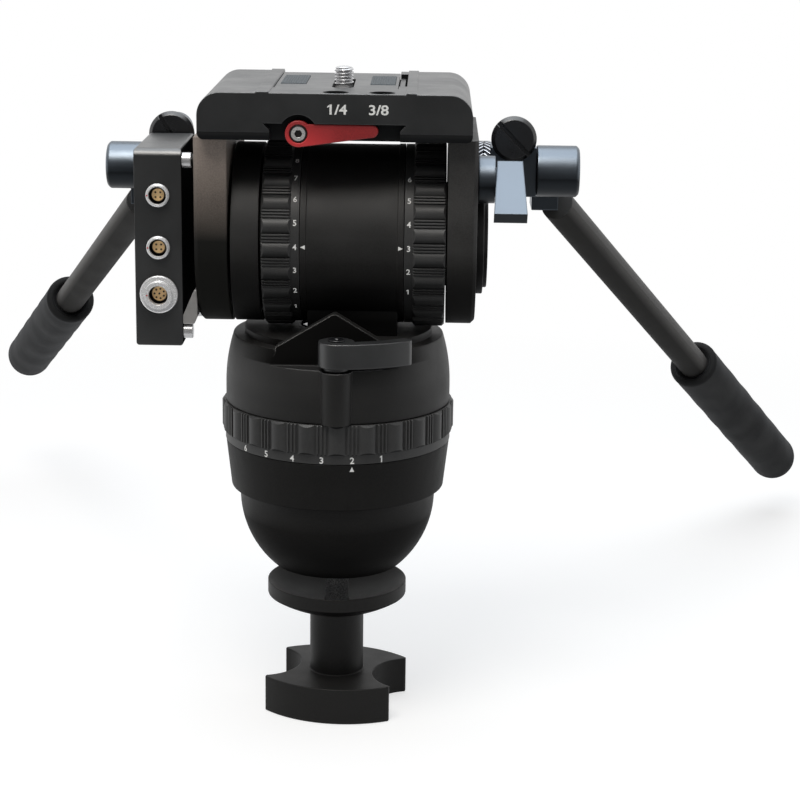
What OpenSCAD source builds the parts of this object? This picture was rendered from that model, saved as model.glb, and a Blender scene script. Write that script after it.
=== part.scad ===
// Fluid video head for a bowl tripod, in millimetres.
// The origin is the centre of the half ball, +Z is up and the lens side faces -Y.

/* [Frame] */
// Height of the tilt axis above the centre of the half ball
tilt_axis_height = 134.5; // [134.3:0.1:136]
// Radial play of a shaft or ring that turns in its bore
running_clearance = 0.05; // [0.02:0.01:0.08]
// Free space between bodies that move past each other
body_gap = 0.3; // [0.3:0.05:0.4]

/* [Half ball and tie-down] */
// Radius of the half ball that sits in the tripod bowl
ball_radius = 50; // [48:0.5:52]
// Depth of the flat underside of the half ball
ball_depth = 38; // [36:0.5:39]
// Radius of the tie-down stud
stud_radius = 6; // [5:0.5:7]
// Length of the stud inside the half ball
stud_engagement = 22; // [18:1:26]
// Height of the lower end of the stud
stud_end = -107; // [-110.5:0.5:-106]
// Inner radius of the clamp cup, which meets the outside of the bowl
cup_radius = 60; // [58:0.5:61]
// Wall of the clamp cup
cup_wall = 6; // [5:0.5:7]
// Radius of the rim of the clamp cup
cup_rim_radius = 36; // [32:1:40]
// Height of the flat underside of the clamp cup
cup_underside = -64.5; // [-65:0.1:-64]
// Radius of the hub of the tie-down knob
knob_hub_radius = 14; // [12:0.5:15]
// Height of the lower face of the tie-down knob
knob_bottom = -117; // [-120:0.5:-116.5]
// Thickness of the knob's floor under the stud bore
knob_floor = 6; // [4:0.5:6]
// Half width of the knob across its wings
knob_reach = 33; // [31:0.5:34]
// Half depth of the knob at its middle
knob_half_depth = 33; // [32:0.5:34]
// Radius of the bulged faces of the knob
knob_face_radius = 55; // [50:1:60]
// Height of the knob's wings
knob_wing_height = 19; // [17:0.5:22]
// Half width of the knob between its hollow sides
knob_waist = 20; // [18:0.5:21]
// Radius of the hollow sides
knob_hollow_radius = 22; // [20:0.5:22]
// Turn of the knob about the stud
knob_turn = -11; // [-40:1:0]
// Shank radius of the bolts that hold the half ball
ball_bolt_radius = 3; // [2.5:0.25:3.5]
// Head radius of those bolts
ball_bolt_head = 5; // [4.5:0.25:5.5]
// Head height of those bolts
ball_bolt_head_height = 6; // [4:0.5:7]
// Radius of the bolt circle
ball_bolt_circle = 26; // [22:0.5:27]
// Depth of the bolt seats below the ball's centre
ball_bolt_seat = 14; // [10:1:18]
// Bolt length inside the base ring
ball_bolt_engagement = 13.5; // [10:0.5:18]

/* [Pan base] */
// Height of the underside of the base ring
base_bottom = 4.5; // [3:0.1:5]
// Radius of the base ring at its underside
base_bottom_radius = 54.4; // [53:0.1:56]
// Height of the top edge of the base ring
base_top = 29; // [28.5:0.1:29.5]
// Radius of the base ring at its top edge
base_top_radius = 57.2; // [56.5:0.1:57.4]
// Radius of the hub on which the pan drag ring turns
base_hub_radius = 47.5; // [46:0.1:48]
// Height of the top of that hub
base_hub_top = 46.5; // [45:0.1:48]
// Radius of the pan spindle
spindle_radius = 12; // [10:0.5:13]
// Height of the top of the spindle
spindle_top = 87.1; // [86:0.1:87.2]
// Outer radius of the pan bearings
pan_bearing_radius = 19; // [18.5:0.25:20]
// Width of a pan bearing
pan_bearing_width = 8; // [6:0.5:9]
// Height of the underside of the lower pan bearing
pan_bearing_bottom = 62; // [61:0.5:64]
// Distance between the pan bearings
pan_bearing_spacing = 12; // [10:0.5:12]
// Size of the spindle nut across its flats
nut_flats = 31; // [29:0.5:32]
// Height of the spindle nut
nut_height = 5; // [4:0.1:5]
// Radius of the pan damper discs
pan_disc_radius = 43; // [40:0.5:43.5]
// Number of pan damper discs
pan_disc_count = 3; // [2:1:3]
// Radius of the pan damper hub
pan_damper_hub = 20; // [17:0.5:24]
// Height of the pan damper pack
pan_damper_height = 12.3; // [11:0.1:12.8]
// Thickness of a damper disc
damper_disc = 1.4; // [1:0.1:1.8]
// Distance between damper discs
damper_pitch = 3; // [2.6:0.1:3.2]

/* [Pan housing] */
// Height of the underside of the pan housing
housing_bottom = 49.4; // [49:0.1:50]
// Radius of the pan housing at its underside
housing_radius = 57; // [56:0.1:58]
// Height where the housing wall starts to curve in
housing_shoulder = 58; // [56:0.5:60]
// Radius of the inward curve of the wall
housing_curve = 85; // [80:1:95]
// Height of the flat top of the housing
housing_top = 83.8; // [83:0.1:84.5]
// Height of the pad that carries the tilt drum
housing_pad_top = 87.6; // [87.4:0.1:87.7]
// Radius of that pad
housing_pad_radius = 47.5; // [46.9:0.1:48]
// Radius of the damper chamber
pan_chamber_radius = 44.5; // [44.2:0.1:46]
// Height of the ceiling of the damper chamber
pan_chamber_top = 60; // [59.5:0.1:60.5]
// Height of the front ledge
ledge_height = 75.8; // [75:0.1:76]
// Distance of the flat front face from the pan axis
front_flat = 45; // [44.8:0.1:45.3]
// Thickness of the pointed front shield
shield_thickness = 6.5; // [5:0.1:7]
// Half width of the shield at its corners
shield_half_width = 28.9; // [26:0.1:29.2]
// Height of the shield's corners
shield_corner_height = 84.8; // [84:0.1:85]
// Slope of the shield's upper edges
shield_slope = 31; // [27:0.5:31]
// Radius of the shield's rounded point
shield_point_radius = 3; // [2:0.5:5]
// Radius of the half-round post and of the lock lever's boss
post_radius = 7.7; // [7:0.1:8]
// Sideways place of the post
post_x = 1.4; // [0:0.1:2]
// Distance of the post's axis in front of the pan axis
post_y = 54.5; // [54.3:0.1:55]
// Radius of the bubble level
level_radius = 6.8; // [6:0.1:7]
// Distance of the bubble level behind the pan axis
level_y = 40; // [36:0.1:40]
// Height of the bubble level's body
level_height = 3; // [2.5:0.1:4]
// Wall of the bubble level's body
level_wall = 1.6; // [1.2:0.1:2]

/* [Pan lock] */
// Height of the pan lock lever over the ledge
lock_rise = 2.4; // [2:0.1:2.8]
// Radius of the lever's boss
lock_boss_radius = 8.8; // [8:0.1:9]
// Radius of the low hub under the boss
lock_hub_radius = 6.2; // [5.5:0.1:7]
// Height of the lock lever
lock_height = 12.4; // [11:0.1:13]
// Inner radius of the lever's curved arm about the pan axis
lock_inner_radius = 56; // [55.8:0.1:56.4]
// Radial thickness of the curved arm
lock_thickness = 7.2; // [6:0.1:8]
// Angle of the centre of the lever's tip
lock_tip_angle = 35; // [30:0.5:38]
// Radius of the lock screw's head
lock_screw_head = 4; // [3.5:0.1:5]
// Height of the lock screw's head
lock_screw_head_height = 0.9; // [0.7:0.1:1.5]
// Radius of the lock screw's shank
lock_screw_radius = 3; // [2.5:0.1:3.5]
// Length of the lock screw inside the post
lock_screw_engagement = 16; // [10:1:20]

/* [Dial rings] */
// Turn of the pan drag ring's scale about the pan axis
pan_index_angle = 9.5; // [6:0.5:12]
// Radius of the pan ring's number band
pan_band_radius = 57.4; // [57:0.1:57.5]
// Height of the pan ring's number band
pan_band_width = 4.6; // [4:0.1:5]
// Radius over the lobes of the pan ring
pan_lobe_peak = 59.15; // [58.8:0.05:59.6]
// Radius between the lobes of the pan ring
pan_lobe_valley = 57.6; // [57.2:0.1:58]
// Radius of a lobe of the pan ring
pan_lobe_radius = 7; // [6:0.1:7]
// Radius of the drum's hubs, on which the tilt rings turn
drum_hub_radius = 38; // [36:0.5:39]
// Radius of the tilt rings' number bands
tilt_band_radius = 44.7; // [44:0.1:45]
// Radius over the lobes of the tilt rings
tilt_lobe_peak = 46.3; // [46:0.05:46.4]
// Radius between the lobes of the tilt rings
tilt_lobe_valley = 44.9; // [44.6:0.1:45.2]
// Radius of a lobe of the tilt rings
tilt_lobe_radius = 5.5; // [5:0.1:5.6]
// Width of a tilt ring's number band
tilt_band_width = 4.2; // [4:0.1:4.6]
// Width of the counterbalance ring
counterbalance_ring_width = 18.4; // [17:0.1:18.8]
// Width of the tilt drag ring
tilt_drag_ring_width = 20; // [18:0.1:20.2]
// Turn of the counterbalance ring's ribs above its numbers
counterbalance_turn = 5.5; // [0:0.5:15]
// Turn of the tilt drag ring's ribs above its numbers
tilt_drag_turn = 0.5; // [0:0.5:15]
// Number of lobes round a ring
lobe_count = 24; // [24:24]
// Width of a thin rib between two lobes
rib_width = 0.8; // [0.6:0.05:0.9]
// Height of a thin rib
rib_height = 0.9; // [0.6:0.05:1]
// Angle between neighbouring ribs
rib_pitch = 1.9; // [1.7:0.1:2]
// Chamfer at the ends of the lobes
lobe_chamfer = 1.2; // [0.8:0.1:1.6]

/* [Tilt drum] */
// Left end of the central drum
drum_left = -17.2; // [-17.6:0.1:-17]
// Right end of the central drum
drum_right = 33.1; // [32.8:0.1:33.3]
// Radius of the central drum
drum_radius = 44.3; // [43.5:0.1:44.5]
// Radius of the two index bands
index_band_radius = 44.7; // [44.5:0.1:45]
// Width of an index band
index_band_width = 3; // [2.5:0.1:3.5]
// Half depth of the drum's foot
drum_foot_half_depth = 28; // [24:0.5:28.5]
// Left face of the outer drum section
outer_drum_left = -50.8; // [-51:0.1:-50.5]
// Width of the outer drum section
outer_drum_width = 13.6; // [13:0.1:13.8]
// Radius of the tilt shaft
tilt_shaft_radius = 14; // [12:0.5:15]
// Outer radius of the tilt bearings
tilt_bearing_radius = 21; // [20:0.25:22]
// Width of a tilt bearing
tilt_bearing_width = 10; // [8:0.5:10.5]
// Radius of the free bore round the tilt shaft
shaft_room = 16; // [15.5:0.25:17]
// Radius of the tilt damper chamber and of the spring's space
tilt_chamber_radius = 30; // [28:0.5:32]
// Left end of the tilt damper chamber
tilt_chamber_left = -10; // [-11:0.5:-8]
// Width of the tilt damper chamber
tilt_chamber_width = 37; // [30:0.5:38]
// Radius of the tilt damper discs
tilt_disc_radius = 29; // [26:0.5:29.5]
// Radius of the tilt damper hub
tilt_damper_hub = 18; // [17:0.5:22]
// Number of tilt damper discs
tilt_disc_count = 9; // [6:1:9]
// Width of the counterbalance spring
spring_width = 15; // [12:0.5:16]
// Wire radius of the counterbalance spring
spring_wire = 2.4; // [2:0.1:2.4]

/* [Arms] */
// Inner face of the left arm
left_arm_inner = -52.2; // [-52.5:0.1:-51.8]
// Outer face of the left arm
left_arm_outer = -68.3; // [-68.6:0.1:-67.5]
// Inner face of the right arm
right_arm_inner = 54.1; // [53.9:0.1:54.5]
// Outer face of the right arm
right_arm_outer = 68.5; // [68:0.1:69]
// Radius of the arms' round ends
arm_radius = 44.7; // [44:0.1:45.5]
// Chamfer at the arms' outer edges
arm_chamfer = 1.9; // [1.5:0.1:2.5]
// Rear face of the arms' upper part
arm_rear = 54.5; // [54:0.1:58]
// Height of the underside of the arms' rear part above the tilt axis
arm_rear_height = 22; // [18:0.5:26]
// Radius of the bosses that face the drum
arm_boss_radius = 26; // [24:0.5:30]
// Radius of the stepped cap on the right arm
cap_radius = 29.7; // [28:0.1:30]
// Thickness of the cap's wide step
cap_thickness = 3.7; // [3:0.1:4.5]
// Radius of the cap's raised face
cap_face_radius = 26.5; // [24:0.1:27.5]
// Height of the cap's raised face
cap_face_height = 2; // [1.5:0.1:2.5]

/* [Platform] */
// Half width of the platform
platform_half_width = 65.2; // [64:0.1:66]
// Front face of the platform
platform_front = -55.5; // [-56:0.1:-55]
// Rear face of the platform
platform_rear = 54.5; // [53:0.1:56]
// Underside of the platform above the tilt axis
platform_bottom = 52.5; // [52:0.1:53]
// Top of the platform above the tilt axis
platform_top = 75.2; // [75:0.1:75.6]
// Radius of the platform's upper side edges
platform_top_radius = 11; // [9:0.5:12]
// Radius of the platform's lower side edges
platform_bottom_radius = 3; // [2:0.5:4]
// Depth and height of the bevel under the platform's front
platform_bevel = [2.5, 4]; // [2:0.1:4.5]
// Left rail beside the camera plate, inner and outer face
left_rail = [-37.5, -31]; // [-40:0.1:-30]
// Right rail beside the camera plate, inner and outer face
right_rail = [33.5, 38.6]; // [30:0.1:40]
// Height of the rails over the platform
rail_height = 0.6; // [0.4:0.1:1]
// Radius of a spare-screw well
well_radius = 6.2; // [5.9:0.1:6.3]
// Distance of the wells behind the front face
well_setback = 6.9; // [6.8:0.1:7.4]
// Sideways places of the wells
well_places = [0.2, 22.2]; // [-20:0.1:26]
// Depth of the wells
well_depth = 9; // [7:0.5:10]
// Radius of a spare screw's head
spare_head_radius = 5.5; // [5:0.1:5.7]
// Width of the slot in a spare screw's head
spare_slot = 1.6; // [1.2:0.1:2]
// Height of a spare screw's head
spare_head_height = 4; // [3:0.1:5]
// Length of a spare screw's shank
spare_shank_length = 5; // [4:0.1:5.2]
// Shank radii of the two spare screws
spare_shanks = [3.175, 4.7625]; // [3:0.1:5]
// Depth of the lever recess
recess_depth = 5; // [4.6:0.1:6]
// Half width of the recess at its upper edge
recess_half_width = 33.9; // [32:0.1:35]
// Inset of the recess at the platform's underside
recess_inset = 3; // [2:0.1:5]
// Height of the recess over the platform's underside
recess_height = 8.3; // [8.2:0.1:9]

/* [Quick lock] */
// Sideways place of the red lever's pivot
quick_x = -17.2; // [-18:0.1:-15]
// Height of the pivot over the platform's underside
quick_height = 3.5; // [3:0.1:4]
// Radius of the lever's head
quick_head_radius = 6.3; // [6:0.1:6.6]
// Radius of the lever's tip
quick_tip_radius = 2.6; // [2.3:0.1:2.8]
// Length from pivot to the centre of the tip
quick_length = 37; // [34:0.5:38]
// Rise of the tip's centre over the pivot
quick_rise = 1.8; // [1.4:0.1:2]
// Thickness of the lever
quick_thickness = 4; // [3.5:0.1:4.2]
// Room round the lever's head in the recess
quick_head_room = 2.8; // [2:0.1:3]
// Radius of the lever screw's head
quick_screw_head = 4.1; // [3.8:0.1:4.3]
// Radius of the lever screw's shank
quick_screw_radius = 2.5; // [2:0.1:3]
// Depth of the counterbore for the screw's head
quick_counterbore = 2; // [1.5:0.1:2.4]
// Length of the screw inside the platform
quick_screw_engagement = 10; // [8:0.5:12]
// Across flats of the screw's hexagon socket
quick_hex = 3.4; // [3:0.1:4]

/* [Camera plate] */
// Left and right edge of the camera plate's top
plate_edges = [-30.5, 29.2]; // [-31:0.1:30]
// Front and rear edge of the camera plate
plate_ends = [-30, 46]; // [-32:0.5:50]
// Thickness of the camera plate
plate_thickness = 8.5; // [8:0.1:9]
// Set-down of the plate's top below the platform's top
plate_set_down = 0.2; // [0.1:0.1:0.4]
// Spread of the plate's dovetail at its underside
dovetail_spread = 1.8; // [1.4:0.1:2]
// Height of the straight lower flank of the dovetail
dovetail_foot = 2.5; // [2:0.1:3]
// Height of the dovetail's slope
dovetail_rise = 3; // [2.5:0.1:3.2]
// Front and rear edge of the clamping jaw
jaw_ends = [-18.5, 40]; // [-19:0.5:42]
// Height of the jaw's top below the plate's top
jaw_set_down = 2; // [1.5:0.1:2.4]
// Thickness of the jaw at its foot
jaw_thickness = 1; // [0.8:0.05:1.1]
// Left and right edge of the left rubber pad
left_pad = [-28.6, -16]; // [-29:0.1:-14]
// Left and right edge of the right rubber pad
right_pad = [15.4, 27.6]; // [14:0.1:28]
// Front and rear edge of the rubber pads
pad_ends = [-11, 29]; // [-14:0.5:32]
// Height of the pads over the plate
pad_height = 0.4; // [0.3:0.1:0.5]
// Depth of the pads' pockets
pad_pocket = 1.2; // [0.8:0.1:1.6]
// Number of grooves across a pad
pad_groove_count = 9; // [6:1:9]
// Width of a pad groove
pad_groove = 0.5; // [0.4:0.05:0.6]
// Sideways place of the camera screw
screw_x = 2.3; // [-1:0.1:3]
// Place of the camera screw along the slot
screw_y = -6; // [-8:0.1:-3]
// Major radius of the camera screw
screw_radius = 4.7625; // [4.7625]
// Thread pitch of the camera screw
screw_pitch = 1.5875; // [1.5875]
// Depth of the thread's start below the plate's top
thread_drop = 0.1; // [0:0.05:0.2]
// Thread depth of the camera screw
screw_thread_depth = 0.8; // [0.6:0.05:0.95]
// Start and end of a thread crest, as shares of the pitch
crest = [0.4, 0.6]; // [0.3:0.05:0.7]
// Number of thread crests that show
screw_crests = 5; // [4:1:6]
// Radius of the camera screw's neck inside the plate
screw_neck_radius = 4.3; // [4:0.05:4.4]
// Radius of the camera screw's head below the plate
screw_head_radius = 8.2; // [7.5:0.1:8.4]
// Height of the camera screw's head
screw_head_height = 3.6; // [3:0.1:3.8]
// Front and rear end of the screw slot, as centres of its round ends
slot_ends = [-22, 14]; // [-23:0.5:30]
// Room round the screw in its slot
slot_room = 0.4; // [0.3:0.05:0.6]

/* [Tilt lock] */
// Radius of the tilt lock's hub
tilt_lock_hub = 11.5; // [10:0.1:11.8]
// Distance of the hub in front of the tilt axis
tilt_lock_y = 28.5; // [28.3:0.1:30]
// Height of the hub over the tilt axis
tilt_lock_z = 31.9; // [31.7:0.1:33]
// Width of the hub
tilt_lock_width = 8; // [7.5:0.1:8.5]
// Radius of the pin that turns in the arm
tilt_lock_pin = 5; // [4:0.1:5.5]
// Length of the pin inside the arm
tilt_lock_pin_length = 10; // [8:0.5:12]
// Slope of the paddle below the horizontal
paddle_slope = 38; // [34:0.5:42]
// Length of the paddle from the hub's axis
paddle_length = 29.2; // [27:0.1:31]
// Reach of the paddle behind the hub's axis
paddle_back = 5.8; // [4:0.1:6.5]
// Width of the paddle at the hub
paddle_root_width = 12.4; // [11:0.1:13]
// Width of the paddle at its end
paddle_end_width = 16; // [14:0.1:17]
// Thickness of the paddle
paddle_thickness = 6.2; // [5:0.1:6.5]
// Offset of the paddle's underside from the hub's axis
paddle_offset = 0.9; // [0.5:0.1:1.5]
// Radius of the neck between hub and paddle
paddle_neck = 6; // [5:0.1:6.4]

/* [Encoder box] */
// Left and right side of the box
box_sides = [-98.8, -75.6]; // [-99.4:0.1:-75]
// Half depth of the box
box_half_depth = 30.2; // [29.5:0.1:30.4]
// Underside and top of the box from the tilt axis
box_heights = [-52.9, 44.7]; // [-54:0.1:46]
// Radius of the box's edges
box_edge = 1.5; // [1:0.1:2]
// Radius of the box's upper front edge
box_front_edge = 4.6; // [3:0.1:5]
// Break of that edge against the faces beside it
box_front_break = 0.1; // [0.05:0.05:0.2]
// Sideways place of the sockets
socket_x = -87.2; // [-87.5:0.1:-86]
// Heights of the two small sockets from the tilt axis
small_socket_heights = [22.1, -3.7]; // [-10:0.1:24]
// Height of the large socket from the tilt axis
large_socket_height = -27; // [-28:0.1:-25]
// Flange radius of a small socket
small_flange = 5.8; // [5.5:0.1:6]
// Bore radius of a small socket
small_bore = 4.3; // [4:0.1:4.4]
// Barrel radius of a small socket
small_barrel = 5; // [4.9:0.05:5.2]
// Flange radius of the large socket
large_flange = 9.4; // [9:0.1:9.8]
// Raised ring radius of the large socket
large_collar = 6.8; // [6.5:0.1:7]
// Bore radius of the large socket
large_bore = 4.75; // [4.5:0.05:4.9]
// Barrel radius of the large socket
large_barrel = 6; // [5.8:0.1:6.2]
// Thickness of a socket flange
socket_flange_thickness = 2; // [1.6:0.1:2.4]
// Height of the small sockets' raised ring
small_collar_height = 0.5; // [0.3:0.1:1]
// Height of the large socket's raised ring
large_collar_height = 2.6; // [2:0.1:3]
// Length of a socket barrel inside the box
socket_barrel_length = 10; // [8:0.5:12]
// Gap round a contact insert
insert_recess = 1; // [0.7:0.05:1.1]
// Depth of a contact insert's face behind the box's front
insert_depth = 1.1; // [0.8:0.1:1.6]
// Length of a contact insert's face step
insert_step = 5; // [4:0.1:5.5]
// Radius of a contact hole
contact_radius = 0.5; // [0.4:0.05:0.55]
// Number of contacts in a small socket
small_contacts = 4; // [2:1:6]
// Radius of the small sockets' contact circle
small_contact_circle = 1.7; // [1.6:0.1:2.2]
// Number of outer contacts in the large socket
large_contacts = 7; // [5:1:8]
// Radius of the large socket's contact circle
large_contact_circle = 2.4; // [2:0.1:2.8]
// Radius of the standoff screws
standoff_radius = 3.75; // [3.5:0.05:4]
// Length of a standoff screw's head
standoff_head = 4.6; // [4:0.1:5]
// Radius of the standoff spacers
spacer_radius = 3; // [2.5:0.1:3.4]
// Distance of the standoffs from the box's middle
standoff_y = 26; // [24:0.1:26.3]
// Heights of the standoffs from the tilt axis
standoff_heights = [38.8, -46.1]; // [-48.5:0.1:40]
// Thickness of the bracket
bracket_thickness = 1.8; // [1.5:0.1:2.4]
// Height of the bracket's upper edge from the tilt axis
bracket_top = -25; // [-28:0.1:-24]
// Upper and lower end of the bracket's lugs at the box
lug_heights = [-37.7, -42]; // [-42.2:0.1:-37]
// Height of the lugs' cut corner
lug_corner = -38; // [-39:0.1:-37]
// Thickness of a lug
lug_thickness = 5; // [4:0.1:6]

/* [Pan bars] */
// Distance of the clamps' pivot behind the tilt axis
clamp_y = 46; // [46:0.1:47]
// Height of the clamps' pivot over the tilt axis
clamp_z = 25.8; // [25:0.1:26.5]
// Outer face of the fixed rosettes
rosette_face = 72.4; // [72:0.1:72.8]
// Radius of the rosettes
rosette_radius = 15.2; // [14.5:0.1:15.4]
// Thickness of the turning rosettes
rosette_thickness = 3.2; // [2.8:0.1:3.4]
// Number of rosette teeth
rosette_teeth = 36; // [24:6:36]
// Depth of a rosette tooth
rosette_tooth = 0.65; // [0.5:0.05:0.7]
// Width of a clamp block
clamp_width = 24.2; // [23.5:0.1:24.4]
// Half depth of a clamp block
clamp_half_depth = 8; // [7:0.1:8]
// Height of a clamp block's underside from the tilt axis
clamp_bottom = 13.3; // [12.5:0.1:14]
// Height of a clamp block's shoulders over the pivot
clamp_shoulder = 13; // [11:0.1:14]
// Radius of a clamp block's round crown
clamp_crown = 8.6; // [8:0.1:9]
// Height of the slotted screw over the pivot
coin_height = 17.6; // [17:0.1:18]
// Radius of the slotted screw's head
coin_radius = 11.7; // [11:0.1:11.9]
// Thickness of the slotted screw's head
coin_thickness = 3.2; // [2.8:0.1:3.4]
// Chamfer of the slotted screw's rim
coin_rim = 1.8; // [1.4:0.1:2]
// Width of the coin slot
coin_slot = 2; // [1.8:0.1:2.6]
// Depth of the coin slot
coin_slot_depth = 1.7; // [1.4:0.1:2]
// Turn of the coin slots, left and right
coin_turns = [-58, 46]; // [-80:1:80]
// Radius of the slotted screw's shank
coin_shank = 5; // [4.5:0.1:5.5]
// Length of the slotted screw inside the block
coin_engagement = 13; // [10:0.5:14]
// Radii of the left and the right clamp knob
knob_radii = [12.2, 13.3]; // [11.5:0.1:13.4]
// Length of the clamp knobs
knob_length = 22; // [20:0.5:23]
// Chamfer of the clamp knobs' outer edge
knob_chamfer = 1.5; // [1:0.1:2]
// Radius of the clamp knobs' rod
knob_rod = 4; // [3.5:0.1:4.5]
// Length of the rod's end inside the fixed rosette
knob_rod_reach = 2.4; // [2:0.1:3]
// Inner and outer side of a bar socket
bar_socket_sides = [99, 113]; // [98.8:0.1:114]
// Front and rear face of a bar socket
bar_socket_ends = [60, 84]; // [60:0.5:86]
// Underside and top of a bar socket from the tilt axis
bar_socket_heights = [2.9, 24]; // [0:0.1:25]
// Left side and underside of the link between block and bar socket
bar_link = [85, 14]; // [13:0.5:88]
// Radius of a pan bar tube
tube_radius = 8.75; // [8.5:0.05:9]
// Radius of a grip
grip_radius = 15.1; // [14:0.1:15.5]
// Length of a pan bar from its reference point
bar_length = 427; // [410:1:440]
// Length of a grip
grip_length = 185; // [170:1:195]
// Depth of the tube inside the grip, short of the grip's end
tube_set_back = 20; // [18:1:30]
// Start of a tube along the bar from its reference point
tube_start = 16.5; // [16:0.5:18]
// Edge radius at the near end of a grip
grip_edge = 3; // [2:0.1:4]
// Depth of the recess in the near face of a grip
grip_recess = 2; // [1:0.1:2.5]
// Width of that recess
grip_recess_width = 1.8; // [1.2:0.1:2.5]
// Reference point of the left bar, sideways, back and up from the tilt axis
left_bar_point = [-102.7, 55, 9.9]; // [-110:0.1:60]
// Splay and drop of the left bar
left_bar_angles = [20.7, 24.5]; // [18:0.1:28]
// Reference point of the right bar, sideways, back and up from the tilt axis
right_bar_point = [105.9, 55, 14.3]; // [10:0.1:110]
// Splay and drop of the right bar
right_bar_angles = [30.6, 33.2]; // [26:0.1:36]

/* [Hidden] */
$fn = 72;
black = "#1d1e20";
matte = "#26282b";
steel = "#b9bcc0";
gold = "#c9a24a";
over = 1;
flank_share = 0.97;
pan_bore = pan_bearing_radius + running_clearance;
tilt_bore = tilt_bearing_radius + running_clearance;
pan_ring_bottom = base_top + body_gap;
pan_ring_height = housing_bottom - body_gap - pan_ring_bottom;
left_ring_end = drum_left - body_gap;
right_ring_start = drum_right + body_gap;
outer_drum_right = outer_drum_left + outer_drum_width;
right_hub_end = right_ring_start + tilt_drag_ring_width - body_gap / 2;
lever_bottom = ledge_height + lock_rise;
cup_top = over - sqrt(pow(cup_radius, 2) - pow(cup_rim_radius, 2));
well_floor = platform_top - well_depth;
well_y = platform_front + well_setback;
plate_top = platform_top - plate_set_down;
plate_bottom = plate_top - plate_thickness;
jaw_inner = plate_edges[1] + body_gap;
jaw_outer = jaw_inner + dovetail_spread + jaw_thickness;
slot_half_width = screw_radius + slot_room;
clamp_inner = rosette_face + body_gap + rosette_thickness;
clamp_middle = clamp_inner + clamp_width / 2;
clamp_outer = clamp_inner + clamp_width;
quick_z = platform_bottom + quick_height;
lever_front = platform_front + recess_depth - body_gap - quick_thickness;

// Moves its children to the tilt axis
module at_tilt_axis() { translate([0, 0, tilt_axis_height]) children(); }

// Cylinder along X
module rod_x(x0, x1, r) { translate([x0, 0, 0]) rotate([0, 90, 0]) cylinder(r = r, h = x1 - x0); }

// Cylinder along Y
module rod_y(y0, y1, r) { translate([0, y0, 0]) rotate([-90, 0, 0]) cylinder(r = r, h = y1 - y0); }

// Outline in X and Z, extruded along Y
module slab_y(y0, y1) { translate([0, y1, 0]) rotate([90, 0, 0]) linear_extrude(y1 - y0) children(); }

// Outline in X and Y, extruded along Z
module slab_z(z0, z1) { translate([0, 0, z0]) linear_extrude(z1 - z0) children(); }

// Outline in Y and Z, extruded along X
module slab_x(x0, x1) { translate([x0, 0, 0]) rotate([90, 0, 90]) linear_extrude(x1 - x0) children(); }

// Box between two opposite corners
module block(a, b) { translate(a) cube(b - a); }

// Rectangle with four round corners
module rounded_rect(x0, x1, y0, y1, r) {
    translate([x0 + r, y0]) square([x1 - x0 - 2 * r, y1 - y0]);
    translate([x0, y0 + r]) square([x1 - x0, y1 - y0 - 2 * r]);
    for (x = [x0 + r, x1 - r], y = [y0 + r, y1 - r])
        translate([x, y]) circle(r);
}

// Lever outline: round head at the origin, round tip, level upper edge, edges just inside the tangents
module lever_outline(length, rise, r_root, r_tip) {
    a = atan(rise / length) + asin((r_root - r_tip) / norm([length, rise])) - 90;
    root = flank_share * r_root;
    tip = flank_share * r_tip;
    circle(r_root);
    translate([length, rise]) circle(r_tip);
    polygon([
        [root * cos(a), root * sin(a)],
        [length + tip * cos(a), rise + tip * sin(a)],
        [length, rise + tip], [0, rise + tip]
    ]);
}

// Slot with round ends along Y
module slot_outline(half_width, ends) {
    for (y = ends)
        translate([screw_x, y]) circle(half_width);
    translate([screw_x - half_width, ends[0]]) square([2 * half_width, ends[1] - ends[0]]);
}

// Places of the half ball's bolts
module at_ball_bolts() {
    for (i = [0:3])
        rotate([0, 0, 45 + 90 * i]) translate([ball_bolt_circle, 0, 0]) children();
}

module half_ball() {
    color(matte) difference() {
        intersection() {
            sphere(r = ball_radius);
            translate([0, 0, -ball_depth]) cylinder(r = ball_radius + over, h = ball_depth + base_bottom);
        }
        translate([0, 0, -ball_depth - over]) cylinder(r = stud_radius, h = stud_engagement + over);
        at_ball_bolts() {
            translate([0, 0, -ball_depth - over])
                cylinder(r = ball_bolt_head + body_gap, h = ball_depth + over - ball_bolt_seat);
            translate([0, 0, -ball_depth])
                cylinder(r = ball_bolt_radius, h = ball_depth + base_bottom + over);
        }
    }
}

module base_bolts() {
    color(steel) at_ball_bolts() {
        translate([0, 0, -ball_bolt_seat - ball_bolt_head_height])
            cylinder(r = ball_bolt_head, h = ball_bolt_head_height);
        translate([0, 0, -ball_bolt_seat - over])
            cylinder(r = ball_bolt_radius, h = ball_bolt_seat + over + base_bottom + ball_bolt_engagement);
    }
}

module base_ring() {
    color(matte) difference() {
        union() {
            translate([0, 0, base_bottom])
                cylinder(r1 = base_bottom_radius, r2 = base_top_radius, h = base_top - base_bottom);
            translate([0, 0, base_bottom]) cylinder(r = base_hub_radius, h = base_hub_top - base_bottom);
        }
        translate([0, 0, base_bottom - over]) cylinder(r = spindle_radius, h = base_hub_top + over);
        at_ball_bolts() translate([0, 0, base_bottom - over])
            cylinder(r = ball_bolt_radius, h = ball_bolt_engagement + over);
    }
}

module pan_spindle() {
    color(steel) translate([0, 0, base_bottom]) cylinder(r = spindle_radius, h = spindle_top - base_bottom);
}

module spindle_nut() {
    color(steel) difference() {
        translate([0, 0, pan_bearing_bottom + pan_bearing_spacing + pan_bearing_width])
            cylinder(d = nut_flats / cos(30), h = nut_height, $fn = 6);
        translate([0, 0, pan_bearing_bottom]) cylinder(r = spindle_radius, h = housing_pad_top);
    }
}

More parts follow.
